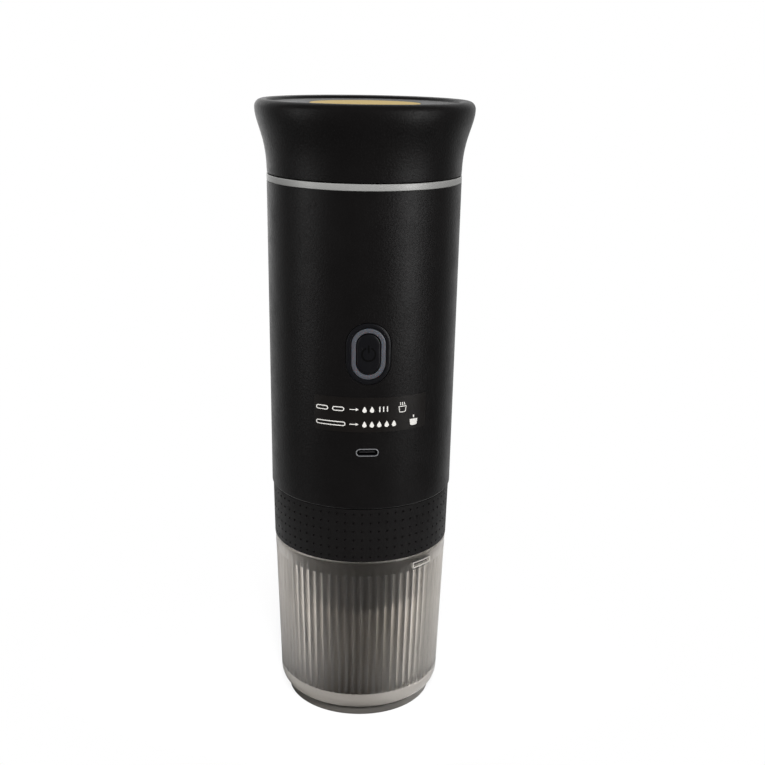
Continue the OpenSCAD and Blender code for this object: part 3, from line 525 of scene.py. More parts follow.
def tint(tone):
    """Linear RGB of a hex value, or of a colour that a user can change."""
    return linear(tone) if tone.startswith("#") else getattr(colours(), tone)


def surface(name, tone, spread, patch_mm, roughness, grain_mm, grain_height_mm, even, stretch=(1, 1, 1)):
    """A finish: a colour that drifts by spread over patches, roughness between two values, a grain in relief.

    even holds the shader's values that are the same all over, and stretch scales the pattern's axes.
    """
    rgb = tint(tone)
    material = bpy.data.materials.new(name)
    material.use_nodes = True
    tree = material.node_tree
    tree.nodes.clear()
    place_on = add(tree, "ShaderNodeTexCoord").outputs["Object"]
    axes = add(tree, "ShaderNodeMapping", {"Vector": place_on, "Scale": stretch}).outputs["Vector"]
    patches = add(tree, "ShaderNodeTexNoise", {
        "Vector": axes, "Scale": 1 / (patch_mm * MM), "Detail": PATCH_DETAIL})
    grain = add(tree, "ShaderNodeTexNoise", {
        "Vector": axes, "Scale": 1 / (grain_mm * MM), "Detail": GRAIN_DETAIL})
    drift = add(tree, "ShaderNodeMix", {
        "Factor": patches.outputs["Fac"], "A": shade(rgb, 1 - spread), "B": shade(rgb, 1 + spread)},
        data_type="RGBA")
    blend = add(tree, "ShaderNodeMath", {
        0: patches.outputs["Fac"], 1: grain.outputs["Fac"]}, operation="MULTIPLY")
    gloss = add(tree, "ShaderNodeMapRange", {
        "Value": blend.outputs["Value"], "From Min": GLOSS_RANGE[0], "From Max": GLOSS_RANGE[1],
        "To Min": roughness[0], "To Max": roughness[1]})
    relief = add(tree, "ShaderNodeBump", {
        "Height": grain.outputs["Fac"], "Distance": grain_height_mm * MM, "Strength": 1.0})
    principled = add(tree, "ShaderNodeBsdfPrincipled", {
        "Base Color": drift.outputs["Result"], "Roughness": gloss.outputs["Result"],
        "Normal": relief.outputs["Normal"], **even})
    add(tree, "ShaderNodeOutputMaterial", {"Surface": principled.outputs["BSDF"]})
    return material


# Smoke-tinted copolyester, frosted by a fine texture; what it doesn't transmit, it scatters as haze
SMOKE = dict(tone="smoke_grey", spread=0.04, patch_mm=14.0, roughness=(0.29, 0.36), grain_mm=5.0,
             grain_height_mm=0.002)

# The finish of each slot; a tone is a hex value or the name of a colour that a user can change
FINISHES = {
    # ABS moulded in a spark-eroded tool: a soft sheen that breaks up into fine grain.
    # The real grit is near 0.1 mm and is drawn at 0.9 mm so that it shows.
    "matte_black_plastic": dict(
        name="abs_moulded_black_fine_grain", tone="shell_black", spread=0.12, patch_mm=9.0,
        roughness=(0.38, 0.50), grain_mm=0.9, grain_height_mm=0.08,
        even={"IOR": 1.5, "Specular IOR Level": 0.28}),
    # Polypropylene moulded smooth: waxy and even, for the pieces inside the lid.
    "dark_liner_plastic": dict(
        name="polypropylene_moulded_dark", tone="#1d1d1e", spread=0.10, patch_mm=6.0,
        roughness=(0.38, 0.50), grain_mm=0.5, grain_height_mm=0.006, even={"IOR": 1.49}),
    # Soft-touch elastomer over the collar: duller than the shell, with a faint velvet bloom.
    "dotted_grip": dict(
        name="elastomer_moulded_grip", tone="grip_black", spread=0.15, patch_mm=5.0,
        roughness=(0.46, 0.62), grain_mm=0.4, grain_height_mm=0.02,
        even={"IOR": 1.48, "Specular IOR Level": 0.24}),
    # ABS moulded in a satin-polished tool: darker and smoother than the shell around it.
    # This finish also lines the inside of the charging port's steel shell, as painted shade.
    "gloss_black_plastic": dict(
        name="abs_moulded_satin_black", tone="frame_black", spread=0.08, patch_mm=4.0,
        roughness=(0.30, 0.42), grain_mm=0.8, grain_height_mm=0.0015,
        even={"IOR": 1.49, "Specular IOR Level": 0.4}),
    # Milky polycarbonate light guide, unlit: a flat cool grey with light soaking into its edge.
    "light_guide": dict(
        name="polycarbonate_milky_grey", tone="light_grey", spread=0.05, patch_mm=3.0,
        roughness=(0.28, 0.38), grain_mm=0.4, grain_height_mm=0.003,
        even={"IOR": 1.58, "Subsurface Weight": 0.15, "Subsurface Scale": 0.5 * MM}),
    # Printed polyester film: smoother than the shell, so it catches a faint flat sheen.
    "label_film": dict(
        name="polyester_film_black", tone="label_black", spread=0.06, patch_mm=7.0,
        roughness=(0.34, 0.44), grain_mm=0.6, grain_height_mm=0.004,
        even={"IOR": 1.57, "Specular IOR Level": 0.35}),
    # Screen-printed white ink: matt and slightly uneven in cover.
    "label_print": dict(
        name="screen_ink_white", tone="print_white", spread=0.06, patch_mm=0.8,
        roughness=(0.55, 0.70), grain_mm=0.2, grain_height_mm=0.002, even={"IOR": 1.5}),
    # Matt black ink on the satin button: darker than the button, and dull where the button shines.
    "button_print": dict(
        name="screen_ink_matt_black", tone="#040404", spread=0.08, patch_mm=0.8,
        roughness=(0.55, 0.70), grain_mm=0.2, grain_height_mm=0.002,
        even={"IOR": 1.5, "Specular IOR Level": 0.2}),
    # ABS sprayed satin silver: a pale even grey, with the soft sparkle of metal flake.
    "bright_ring": dict(
        name="abs_sprayed_satin_silver", tone="ring_silver", spread=0.05, patch_mm=12.0,
        roughness=(0.36, 0.48), grain_mm=0.3, grain_height_mm=0.004, even={"Metallic": 0.35}),
    # Gold-anodised aluminium, brushed one way: a matt warm tone drawn out along the brush lines.
    "gold_disc": dict(
        name="aluminium_anodised_gold", tone="disc_gold", spread=0.05, patch_mm=10.0,
        roughness=(0.50, 0.60), grain_mm=0.22, grain_height_mm=0.003, even={"Metallic": 0.6},
        stretch=(0.05, 1.0, 1.0)),
    # Drawn stainless steel: bright, with faint lengthwise draw lines.
    "stainless_steel": dict(
        name="stainless_steel_drawn", tone="#b6b8ba", spread=0.05, patch_mm=8.0,
        roughness=(0.22, 0.34), grain_mm=0.3, grain_height_mm=0.003, even={"Metallic": 1.0},
        stretch=(1.0, 1.0, 0.1)),
    # Nickel plate left matte over deep-drawn steel: its rim shows as a pale grey line.
    "port_steel": dict(
        name="steel_nickel_plated_matte", tone="#b4b5b8", spread=0.05, patch_mm=2.0,
        roughness=(0.48, 0.62), grain_mm=0.2, grain_height_mm=0.002, even={"Metallic": 0.8}),
    # Zinc-plated screws: bright with a patchy passivated film.
    "screw_steel": dict(
        name="steel_zinc_plated", tone="#9fa3a8", spread=0.10, patch_mm=1.5,
        roughness=(0.28, 0.46), grain_mm=0.25, grain_height_mm=0.004, even={"Metallic": 1.0}),
    # Moulded nitrile rubber: dark, with a soft dull bloom.
    "black_rubber": dict(
        name="nitrile_rubber_moulded", tone="#1b1b1b", spread=0.18, patch_mm=3.0,
        roughness=(0.60, 0.78), grain_mm=0.4, grain_height_mm=0.010, even={"IOR": 1.52}),
    # Food-grade silicone: pale and milky, with light soaking into its edges.
    "pale_silicone": dict(
        name="silicone_moulded_pale", tone="#d8d5cd", spread=0.05, patch_mm=4.0,
        roughness=(0.42, 0.56), grain_mm=0.5, grain_height_mm=0.006,
        even={"IOR": 1.41, "Subsurface Weight": 0.25, "Subsurface Scale": 1.0 * MM}),
    # Turned brass: warm, with fine tool lines.
    "brass_fitting": dict(
        name="brass_turned", tone="#b4914a", spread=0.08, patch_mm=3.0,
        roughness=(0.24, 0.38), grain_mm=0.2, grain_height_mm=0.004, even={"Metallic": 1.0},
        stretch=(0.2, 0.2, 1.0)),
    # Glass-filled nylon: grey, slightly mottled and dull.
    "grey_plastic": dict(
        name="nylon_glass_filled_grey", tone="#48484a", spread=0.16, patch_mm=2.0,
        roughness=(0.48, 0.64), grain_mm=0.4, grain_height_mm=0.012, even={"IOR": 1.53}),
    # Acetal: dense white with a waxy gloss.
    "white_plastic": dict(
        name="acetal_moulded_white", tone="#d6d3cb", spread=0.04, patch_mm=4.0,
        roughness=(0.30, 0.42), grain_mm=0.5, grain_height_mm=0.004, even={"IOR": 1.48}),
    # Glass-epoxy board under green solder mask: the weave just shows through the gloss.
    "circuit_board": dict(
        name="glass_epoxy_solder_mask", tone="#1c5632", spread=0.20, patch_mm=1.2,
        roughness=(0.24, 0.40), grain_mm=0.5, grain_height_mm=0.010, even={"IOR": 1.55}),
    # Shrink-wrapped PVC sleeve: tight, glossy and slightly rippled.
    "cell_wrap": dict(
        name="pvc_shrink_sleeve_blue", tone="#35618c", spread=0.08, patch_mm=6.0,
        roughness=(0.26, 0.38), grain_mm=2.0, grain_height_mm=0.020, even={"IOR": 1.53}),
    # Galvanised deep-drawn can: grey metal with a faint spangle.
    "motor_can": dict(
        name="steel_galvanised_drawn", tone="#8f9296", spread=0.14, patch_mm=2.5,
        roughness=(0.30, 0.48), grain_mm=0.5, grain_height_mm=0.006, even={"Metallic": 1.0}),
    # Die-cast aluminium: pale and grainy.
    "heater_aluminium": dict(
        name="aluminium_die_cast", tone="#a7a8a8", spread=0.10, patch_mm=2.0,
        roughness=(0.42, 0.60), grain_mm=0.5, grain_height_mm=0.016, even={"Metallic": 1.0}),
    # Extruded silicone wire sleeve: soft red with a dusty sheen.
    "red_wire": dict(
        name="silicone_sleeve_red", tone="#a3231e", spread=0.10, patch_mm=2.0,
        roughness=(0.40, 0.54), grain_mm=0.4, grain_height_mm=0.006, even={"IOR": 1.43}),
    # Extruded silicone wire sleeve: soft black with a dusty sheen.
    "black_wire": dict(
        name="silicone_sleeve_black", tone="#222226", spread=0.12, patch_mm=2.0,
        roughness=(0.40, 0.54), grain_mm=0.4, grain_height_mm=0.006, even={"IOR": 1.43}),
    # Moulded copolyester tinted smoke: what is behind it shows blurred and a little warm.
    "smoke_plastic": dict(
        name="copolyester_moulded_smoke", even={"IOR": 1.5, "Transmission Weight": 1.0}, **SMOKE),
    # The thick corner cools last and turns hazy: a pale band above the foot.
    "smoke_corner": dict(
        name="copolyester_smoke_corner", even={"IOR": 1.5, "Transmission Weight": 0.84}, **SMOKE),
    # The foot is scuffed by the table: a trace of the same haze.
    "smoke_foot": dict(
        name="copolyester_smoke_foot", even={"IOR": 1.5, "Transmission Weight": 0.93}, **SMOKE),
    # Copolyester in a pale, hazy tone round the vent windows: a painted highlight along their cut edges.
    "cut_edge": dict(
        name="copolyester_cut_edge", tone="#c9c5bd", spread=0.06, patch_mm=1.5,
        roughness=(0.50, 0.65), grain_mm=0.3, grain_height_mm=0.004,
        even={"IOR": 1.5, "Transmission Weight": 0.3}),
}
made_finishes = {}


def finish(slot):
    """The finish of a material slot, made the first time that it is asked for."""
    if slot not in made_finishes:
        made_finishes[slot] = surface(**FINISHES[slot])
    return made_finishes[slot]


# Operators

class COFFEE_OT_inner_parts(bpy.types.Operator):
    """Gives every CAD node the finish of its material slot."""

    bl_idname = "coffee_maker.inner_parts"
    bl_label = "Inner parts"

    def execute(self, context):
        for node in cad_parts.values():
            slot = node.data.materials[0].name
            node.data.materials[0] = finish(slot)
        return {"FINISHED"}


class COFFEE_OT_lid(bpy.types.Operator):
    """Models the flared lid with its lip, dish and gold-coloured disc."""

    bl_idname = "coffee_maker.lid"
    bl_label = "Lid"

    flare_steps = 28
    low_pull = 0.56
    high_pull = 0.25
    lip_steps = 12
    lip_fall = 0.35 * MM
    lip_edge = 0.4 * MM
    dish_edge = 0.5 * MM
    pocket_edge = 0.12 * MM
    disc_gap = 0.15 * MM
    disc_edge = 0.25 * MM
    disc_foot_edge = 0.1 * MM
    liner_radius = 35.55 * MM
    liner_top = 242.4 * MM
    liner_edge = 0.1 * MM
    seam_land = 0.3 * MM
    seam_edge = 0.08 * MM
    roof_radius = 33.0 * MM
    roof = 2.6 * MM
    cap_radius = 2.0 * MM

    def under(self, pocket):
        """Points under the lid, from the middle of its roof out to the seam."""
        s = sizes()
        ceiling = pocket - self.roof
        points = rounded([
            (self.cap_radius, ceiling, 0),
            (self.roof_radius, ceiling, 0),
            (self.roof_radius, self.liner_top, 0),
            (self.liner_radius, self.liner_top, 0),
            (self.liner_radius, s.lid_low, self.liner_edge),
            (s.lid_low_radius - self.seam_land, s.lid_low, 0)])
        return points + [(s.lid_low_radius - self.seam_edge, s.lid_low + self.seam_edge)]

    def side(self):
        """Points up the flared side: upright at the seam and upright again at the rim."""
        s = sizes()
        height = s.lid_top - s.lid_low - s.lid_lip_radius
        flare = s.lid_rim_radius - s.lid_low_radius
        points = []
        for step in range(self.flare_steps + 1):
            t = step / self.flare_steps
            out = 3 * t ** 2 - 2 * t ** 3
            up = 3 * (1 - t) ** 2 * t * self.low_pull + 3 * (1 - t) * t ** 2 * (1 - self.high_pull) + t ** 3
            points.append((s.lid_low_radius + flare * out, s.lid_low + height * up))
        return points

    def lip(self, dish, pocket):
        """Points over the rounded lip, down into the dish and to the middle of the disc's pocket."""
        s = sizes()
        outside = [(s.lid_rim_radius - s.lid_lip_radius * (1 - math.cos(angle)),
                    s.lid_top - s.lid_lip_radius * (1 - math.sin(angle)))
                   for angle in quarter_circle(self.lip_steps)]
        dish_radius = s.lid_rim_radius - s.lid_lip_width
        pocket_radius = s.disc_radius + self.disc_gap
        inside = rounded([
            (s.lid_rim_radius - s.lid_lip_radius, s.lid_top, 0),
            (dish_radius, s.lid_top - self.lip_fall, self.lip_edge),
            (dish_radius - s.lid_dish + self.lip_fall, dish, self.dish_edge),
            (pocket_radius, dish, self.pocket_edge),
            (pocket_radius, pocket, 0),
            (self.cap_radius, pocket, 0)])
        return outside + inside[1:]

    def execute(self, context):
        s = sizes()
        dish = s.lid_top - s.lid_dish
        pocket = dish - s.disc_thickness
        outline = self.under(pocket) + self.side()[1:-1] + self.lip(dish, pocket)
        shell = turned("lid_shell_flared", outline, closed=False)
        dress(shell, "lid", "matte_black_plastic", "lid_shell")
        gold = turned("lid_disc_gold", rounded([
            (self.cap_radius, pocket, 0),
            (s.disc_radius, pocket, self.disc_foot_edge),
            (s.disc_radius, dish, self.disc_edge),
            (self.cap_radius, dish, 0)]), closed=False)
        dress(gold, "lid", "gold_disc", "lid_disc")
        return {"FINISHED"}


class COFFEE_OT_bright_ring(bpy.types.Operator):
    """Models the bright ring between lid and shell."""

    bl_idname = "coffee_maker.bright_ring"
    bl_label = "Bright ring"

    edge = 0.25 * MM

    def execute(self, context):
        s = sizes()
        ring = turned("bright_ring", rounded([
            (s.ring_bore, s.ring_low, 0),
            (s.ring_radius, s.ring_low, self.edge),
            (s.ring_radius, s.ring_top, self.edge),
            (s.ring_bore, s.ring_top, 0)]))
        dress(ring, "machine", "bright_ring", "trim_ring")
        return {"FINISHED"}


class COFFEE_OT_shell(bpy.types.Operator):
    """Models the tapered shell with its ledges and the cut-outs for button and port."""

    bl_idname = "coffee_maker.shell"
    bl_label = "Shell"

    chamfer = 0.2 * MM
    edge = 0.2 * MM
    top_edge = 0.25 * MM
    ledge_in = 4.0 * MM
    ledge_height = 2.25 * MM
    neck_ledge_in = 2.55 * MM
    neck_ledge_height = 3.0 * MM
    mouth_chamfer = 0.12 * MM
    port_gap = 0.15 * MM
    cutter_outside = 2.0 * MM
    cutter_through = 12.0 * MM
    notch = (25.4 * MM, 9.0 * MM, 7.4 * MM)
    notch_front = 34.65 * MM
    notch_drop = 0.15 * MM

    def cutter(self, name, width, height, level):
        """A round-ended cutter with a chamfered mouth that follows the shell's skin."""
        funnel = self.mouth_chamfer + self.cutter_outside
        piece = round_ended(name, width + 2 * funnel, height + 2 * funnel, -self.cutter_outside)
        bpy.ops.mesh.inset(thickness=funnel, depth=-funnel)
        pull(-self.cutter_through)
        bpy.ops.mesh.select_all(action="SELECT")
        bpy.ops.mesh.fill_holes(sides=0)
        lay_on_shell(piece, level, 0.0)
        close_up(piece)
        return piece

    def execute(self, context):
        s = sizes()
        lift = 2 * self.chamfer
        bay = s.body_wall
        ledge_top = s.deck_ledge + self.ledge_height
        neck_low = s.neck_ledge - self.neck_ledge_height
        shell = turned("shell_tapered", rounded([
            (skin(s.body_low) - bay, s.body_low, 0),
            (s.body_low_radius - self.chamfer, s.body_low, self.edge),
            (skin(s.body_low + lift), s.body_low + lift, self.edge),
            (s.body_top_radius, s.body_top, self.top_edge),
            (skin(s.body_top) - bay, s.body_top, 0),
            (skin(s.neck_ledge) - bay, s.neck_ledge, 0),
            (skin(s.neck_ledge) - bay - self.neck_ledge_in, s.neck_ledge, 0),
            (skin(neck_low) - bay, neck_low, 0),
            (skin(ledge_top) - bay, ledge_top, 0),
            (skin(ledge_top) - bay - self.ledge_in, ledge_top, 0),
            (skin(s.deck_ledge) - bay - self.ledge_in, s.deck_ledge, 0),
            (skin(s.deck_ledge) - bay, s.deck_ledge, 0)]))
        cut(shell, self.cutter("button_cutter", s.bezel_width, s.bezel_height, s.button_level))
        play = 2 * self.port_gap
        cut(shell, self.cutter("port_cutter", s.port_width + play, s.port_height + play, s.port_level))
        notch_low = s.deck_ledge - self.notch_drop
        cut(shell, block("board_notch", self.notch, (
            0, self.notch[1] / 2 - self.notch_front, notch_low + self.notch[2] / 2)))
        close_up(shell)
        dress(shell, "machine", "matte_black_plastic", "body_shell")
        return {"FINISHED"}


class COFFEE_OT_button(bpy.types.Operator):
    """Models the button's frame, light ring and cap with its power sign."""

    bl_idname = "coffee_maker.button"
    bl_label = "Button"

    fit = 0.15 * MM
    slide_gap = 0.3 * MM
    depth = 3.2 * MM
    ring_edge = 0.25 * MM
    ring_edge_lean = 0.08 * MM
    frame_crown = 0.12 * MM
    frame_proud = 0.15 * MM
    light_crown = 0.05 * MM
    light_proud = 0.25 * MM
    cap_edge_mm = ((0.06, 0.2), (0.14, 0.16), (0.25, 0.09))
    cap_dish_mm = ((0.8, 0.0), (1.0, -0.03), (1.2, -0.02), (0.7, 0.0))
    cap_proud = 0.45 * MM
    stem_radius = 2.0 * MM
    stem_length = 3.0 * MM
    sign_sides = 48
    sign_radius = 2.9 * MM
    sign_width = 0.65 * MM
    sign_half_gap = 0.884 * MM
    sign_thickness = 0.03 * MM
    sign_sink = 0.02 * MM
    stroke_height = 3.2 * MM
    stroke_up = 2.1 * MM

    def ring(self, name, width, height, bore_width, crown, proud):
        """A round-ended ring with rounded edges and a low crown, laid on the shell."""
        lean = self.ring_edge_lean
        rise = self.ring_edge - lean
        half_land = (width - bore_width) / 4 - self.ring_edge
        piece = round_ended(name, width, height, self.depth)
        pull(self.depth - self.ring_edge)
        shape_front([(lean, rise), (rise, lean), (half_land, crown)])
        shape_front([(half_land, -crown), (rise, -lean), (lean, -rise)])
        pull(self.ring_edge - self.depth)
        open_through(piece, self.depth)
        lay_on_shell(piece, sizes().button_level, proud)
        close_up(piece)
        return piece

    def cap(self):
        """The button's cap: a rounded edge, a shallow dish and a stem behind it."""
        s = sizes()
        edge = [(inset * MM, rise * MM) for inset, rise in self.cap_edge_mm]
        dish = [(inset * MM, rise * MM) for inset, rise in self.cap_dish_mm]
        piece = round_ended("button_cap", s.button_width, s.button_height, self.depth)
        pull(self.depth - sum(rise for inset, rise in edge))
        shape_front(edge + dish)
        pick_back(piece, self.depth)
        bpy.ops.mesh.inset(thickness=s.button_width / 2 - self.stem_radius)
        pull(-self.stem_length)
        lay_on_shell(piece, s.button_level, self.cap_proud)
        close_up(piece)
        return piece

    def sign(self):
        """The power sign: an open circle with a short stroke through the gap."""
        arc = disc("power_arc", self.sign_sides, self.sign_radius)
        bpy.ops.mesh.inset(thickness=self.sign_width)
        bpy.ops.mesh.delete(type="FACE")
        pick(arc, "FACE", lambda f: f.calc_center_median().z > 0
             and abs(f.calc_center_median().x) < self.sign_half_gap)
        bpy.ops.mesh.delete(type="FACE")
        bpy.ops.mesh.select_all(action="SELECT")
        pull(self.sign_thickness)
        stroke = round_ended("power_stroke", self.sign_width, self.stroke_height)
        pull(self.sign_thickness)
        move(stroke, 0, 0, self.stroke_up)
        piece = join("power_sign", [arc, stroke])
        lay_on_shell(piece, sizes().button_level, self.cap_proud - self.sign_sink)
        close_up(piece)
        return piece

    def execute(self, context):
        s = sizes()
        play = 2 * self.fit
        bezel = self.ring("button_frame", s.bezel_width - play, s.bezel_height - play, s.light_width,
                          self.frame_crown, self.frame_proud)
        dress(bezel, "machine", "gloss_black_plastic", "button_bezel")
        light = self.ring("light_ring_milky", s.light_width - play, s.light_height - play,
                          s.button_width + 2 * self.slide_gap, self.light_crown, self.light_proud)
        dress(light, "machine", "light_guide", "light_ring")
        dress(self.cap(), "button", "gloss_black_plastic", "button")
        dress(self.sign(), "button", "gloss_black_plastic", paint="button_print")
        return {"FINISHED"}


class COFFEE_OT_label(bpy.types.Operator):
    """Models the label and its two rows of printed signs."""

    bl_idname = "coffee_maker.label"
    bl_label = "Label"

    stand_off = 0.05 * MM
    thickness = 0.15 * MM
    corner = 1.0 * MM
    corner_steps = 4
    ink = 0.03 * MM
    upper_row = 2.3 * MM
    lower_row = -3.7 * MM
    short_press = (4.6 * MM, 1.8 * MM)
    long_press = (11.2 * MM, 1.8 * MM)
    press_line = 0.36 * MM
    shaft = (3.0 * MM, 0.3 * MM)
    head_corners = 3
    head_radius = 0.7 * MM
    head_right_mm = 1.3
    drop_radius = 0.85 * MM
    drop_sink = 0.4 * MM
    drop_stretch = 0.9
    drop_taper = 0.35
    warmth = (0.45 * MM, 2.2 * MM)
    mug_size = (3.2 * MM, 2.6 * MM)
    mug_foot = 0.8
    mug_corner = 0.6 * MM
    mug_line = 0.3 * MM
    steam = (0.35 * MM, 1.2 * MM)
    steam_up = 1.6 * MM
    stream = (0.5 * MM, 1.1 * MM)
    stream_up = 1.9 * MM
    short_presses_mm = (-17.5, -11.4)
    long_press_mm = -14.2
    arrow_mm = -5.6
    drops_mm = (-1.3, 1.6, 4.5, 7.4, 10.3)
    heated_drops = 2
    warmth_mm = (4.6, 6.1, 7.6)
    steaming_mug_mm = 13.6
    steaming_mug_sink = 0.6 * MM
    steam_mm = (12.8, 13.6, 14.4)
    full_mug_mm = 18.2
    full_mug_sink = 0.5 * MM

    def printed(self, piece, x_mm, z):
        """Gives the picked face of a sign its thickness of ink and moves the sign to its place."""
        pull(self.ink)
        move(piece, x_mm * MM, 0, z)
        return piece

    def hollow(self, line):
        """Leaves only a line around the picked face."""
        bpy.ops.mesh.inset(thickness=line)
        bpy.ops.mesh.delete(type="FACE")
        bpy.ops.mesh.select_all(action="SELECT")

    def bar(self, size, x_mm, z):
        """A printed bar with round ends."""
        return self.printed(round_ended("print_bar", *size), x_mm, z)

    def press(self, size, x_mm, z):
        """A press of the button: a bar in outline, as long as the press lasts."""
        piece = round_ended("print_press", *size)
        self.hollow(self.press_line)
        return self.printed(piece, x_mm, z)

    def arrow(self, x_mm, z):
        """A printed arrow that points right."""
        head = disc("print_arrow", self.head_corners, self.head_radius)
        begin()
        head.rotation_euler = (0, math.pi / 2, 0)
        place(head)
        edit(head)
        bpy.ops.mesh.select_all(action="SELECT")
        self.printed(head, x_mm + self.head_right_mm, z)
        return [self.bar(self.shaft, x_mm, z), head]

    def drop(self, x_mm, z):
        """A printed droplet: a round end that rises to a point."""
        piece = round_ended("print_drop", 2 * self.drop_radius, 2 * self.drop_radius)
        self.printed(piece, 0, 0)
        for vertex in piece.data.vertices:
            up = max(vertex.co.z / self.drop_radius, 0)
            vertex.co.x *= max(1 - up, 0) ** self.drop_taper
            vertex.co.z *= 1 + self.drop_stretch * up
        move(piece, x_mm * MM, 0, z - self.drop_sink)
        return piece

    def mug(self, x_mm, z, solid):
        """A printed mug, drawn in outline or solid."""
        piece = panel("print_mug", *self.mug_size)
        pick(piece, "VERT", lambda v: v.co.z < 0)
        bpy.ops.transform.resize(value=(self.mug_foot, 1, 1), center_override=(0, 0, 0))
        bpy.ops.mesh.bevel(offset=self.mug_corner, segments=self.corner_steps, affect="VERTICES")
        pick(piece, "FACE", lambda f: True)
        if not solid:
            self.hollow(self.mug_line)
        return self.printed(piece, x_mm, z)

    def heat_row(self):
        """Upper row: two short presses, an arrow, warmed water and a steaming mug."""
        z = self.upper_row
        parts = [self.press(self.short_press, x_mm, z) for x_mm in self.short_presses_mm]
        parts += self.arrow(self.arrow_mm, z)
        parts += [self.drop(x_mm, z) for x_mm in self.drops_mm[:self.heated_drops]]
        parts += [self.bar(self.warmth, x_mm, z) for x_mm in self.warmth_mm]
        parts += [self.mug(self.steaming_mug_mm, z - self.steaming_mug_sink, False)]
        parts += [self.bar(self.steam, x_mm, z + self.steam_up) for x_mm in self.steam_mm]
        return parts

    def brew_row(self):
        """Lower row: one long press, an arrow, falling drops and a full mug."""
        z = self.lower_row
        parts = [self.press(self.long_press, self.long_press_mm, z)]
        parts += self.arrow(self.arrow_mm, z)
        parts += [self.drop(x_mm, z) for x_mm in self.drops_mm]
        parts += [self.mug(self.full_mug_mm, z - self.full_mug_sink, True)]
        parts += [self.bar(self.stream, self.full_mug_mm, z + self.stream_up)]
        return parts

    def execute(self, context):
        s = sizes()
        film = panel("label_film", s.label_width, s.label_height)
        bpy.ops.mesh.bevel(offset=self.corner, segments=self.corner_steps, affect="VERTICES")
        bpy.ops.mesh.select_all(action="SELECT")
        pull(self.thickness)
        move(film, s.label_right, 0, 0)
        divide(film, s.label_width)
        lay_on_shell(film, s.label_level, self.stand_off)
        close_up(film)
        dress(film, "machine", "label_film", "label")
        signs = join("label_signs", self.heat_row() + self.brew_row())
        divide(signs, s.label_width)
        lay_on_shell(signs, s.label_level, self.stand_off + self.thickness)
        close_up(signs)
        dress(signs, "machine", "label_film", paint="label_print")
        return {"FINISHED"}


class COFFEE_OT_port(bpy.types.Operator):
    """Models the charging port: a drawn metal shell with a dark tongue."""

    bl_idname = "coffee_maker.port"
    bl_label = "Charging port"

    inset = 0.25 * MM
    shell_thickness = 0.4 * MM
    shell_edge_mm = ((0.04, 0.1), (0.08, 0.05))
    pocket = 5.5 * MM
    length = 9.0 * MM
    rim_depth = 0.3 * MM
    tongue = (6.34 * MM, 4.6 * MM, 0.7 * MM)
    tongue_in = 1.0 * MM
    tongue_edge = 0.2 * MM
    tongue_edge_steps = 3

    def execute(self, context):
        s = sizes()
        mouth = self.inset - skin(s.port_level)
        edge = [(inset * MM, rise * MM) for inset, rise in self.shell_edge_mm]
        land = self.shell_thickness - 2 * sum(inset for inset, rise in edge)
        shell = round_ended("port_shell", s.port_width, s.port_height, self.length)
        pull(self.length - sum(rise for inset, rise in edge))
        shape_front(edge + [(land, 0.0)])
        shape_front([(inset, -rise) for inset, rise in reversed(edge)])
        pull(-self.pocket)
        move(shell, 0, mouth, s.port_level)
        close_up(shell)
        dress(shell, "machine", "port_steel", "usb_socket")
        # Painted shade: the steel shell's inside behind its rim gets the black finish, so the port's recess
        # reads dark
        repaint(shell, "gloss_black_plastic", lambda f: f.calc_center_median().y > mouth + self.rim_depth)
        tongue = block("port_tongue", self.tongue, (
            0, mouth + self.tongue_in + self.tongue[1] / 2, s.port_level))
        modify(tongue, "BEVEL", width=self.tongue_edge, segments=self.tongue_edge_steps)
        close_up(tongue)
        dress(tongue, "machine", "dark_liner_plastic")
        return {"FINISHED"}


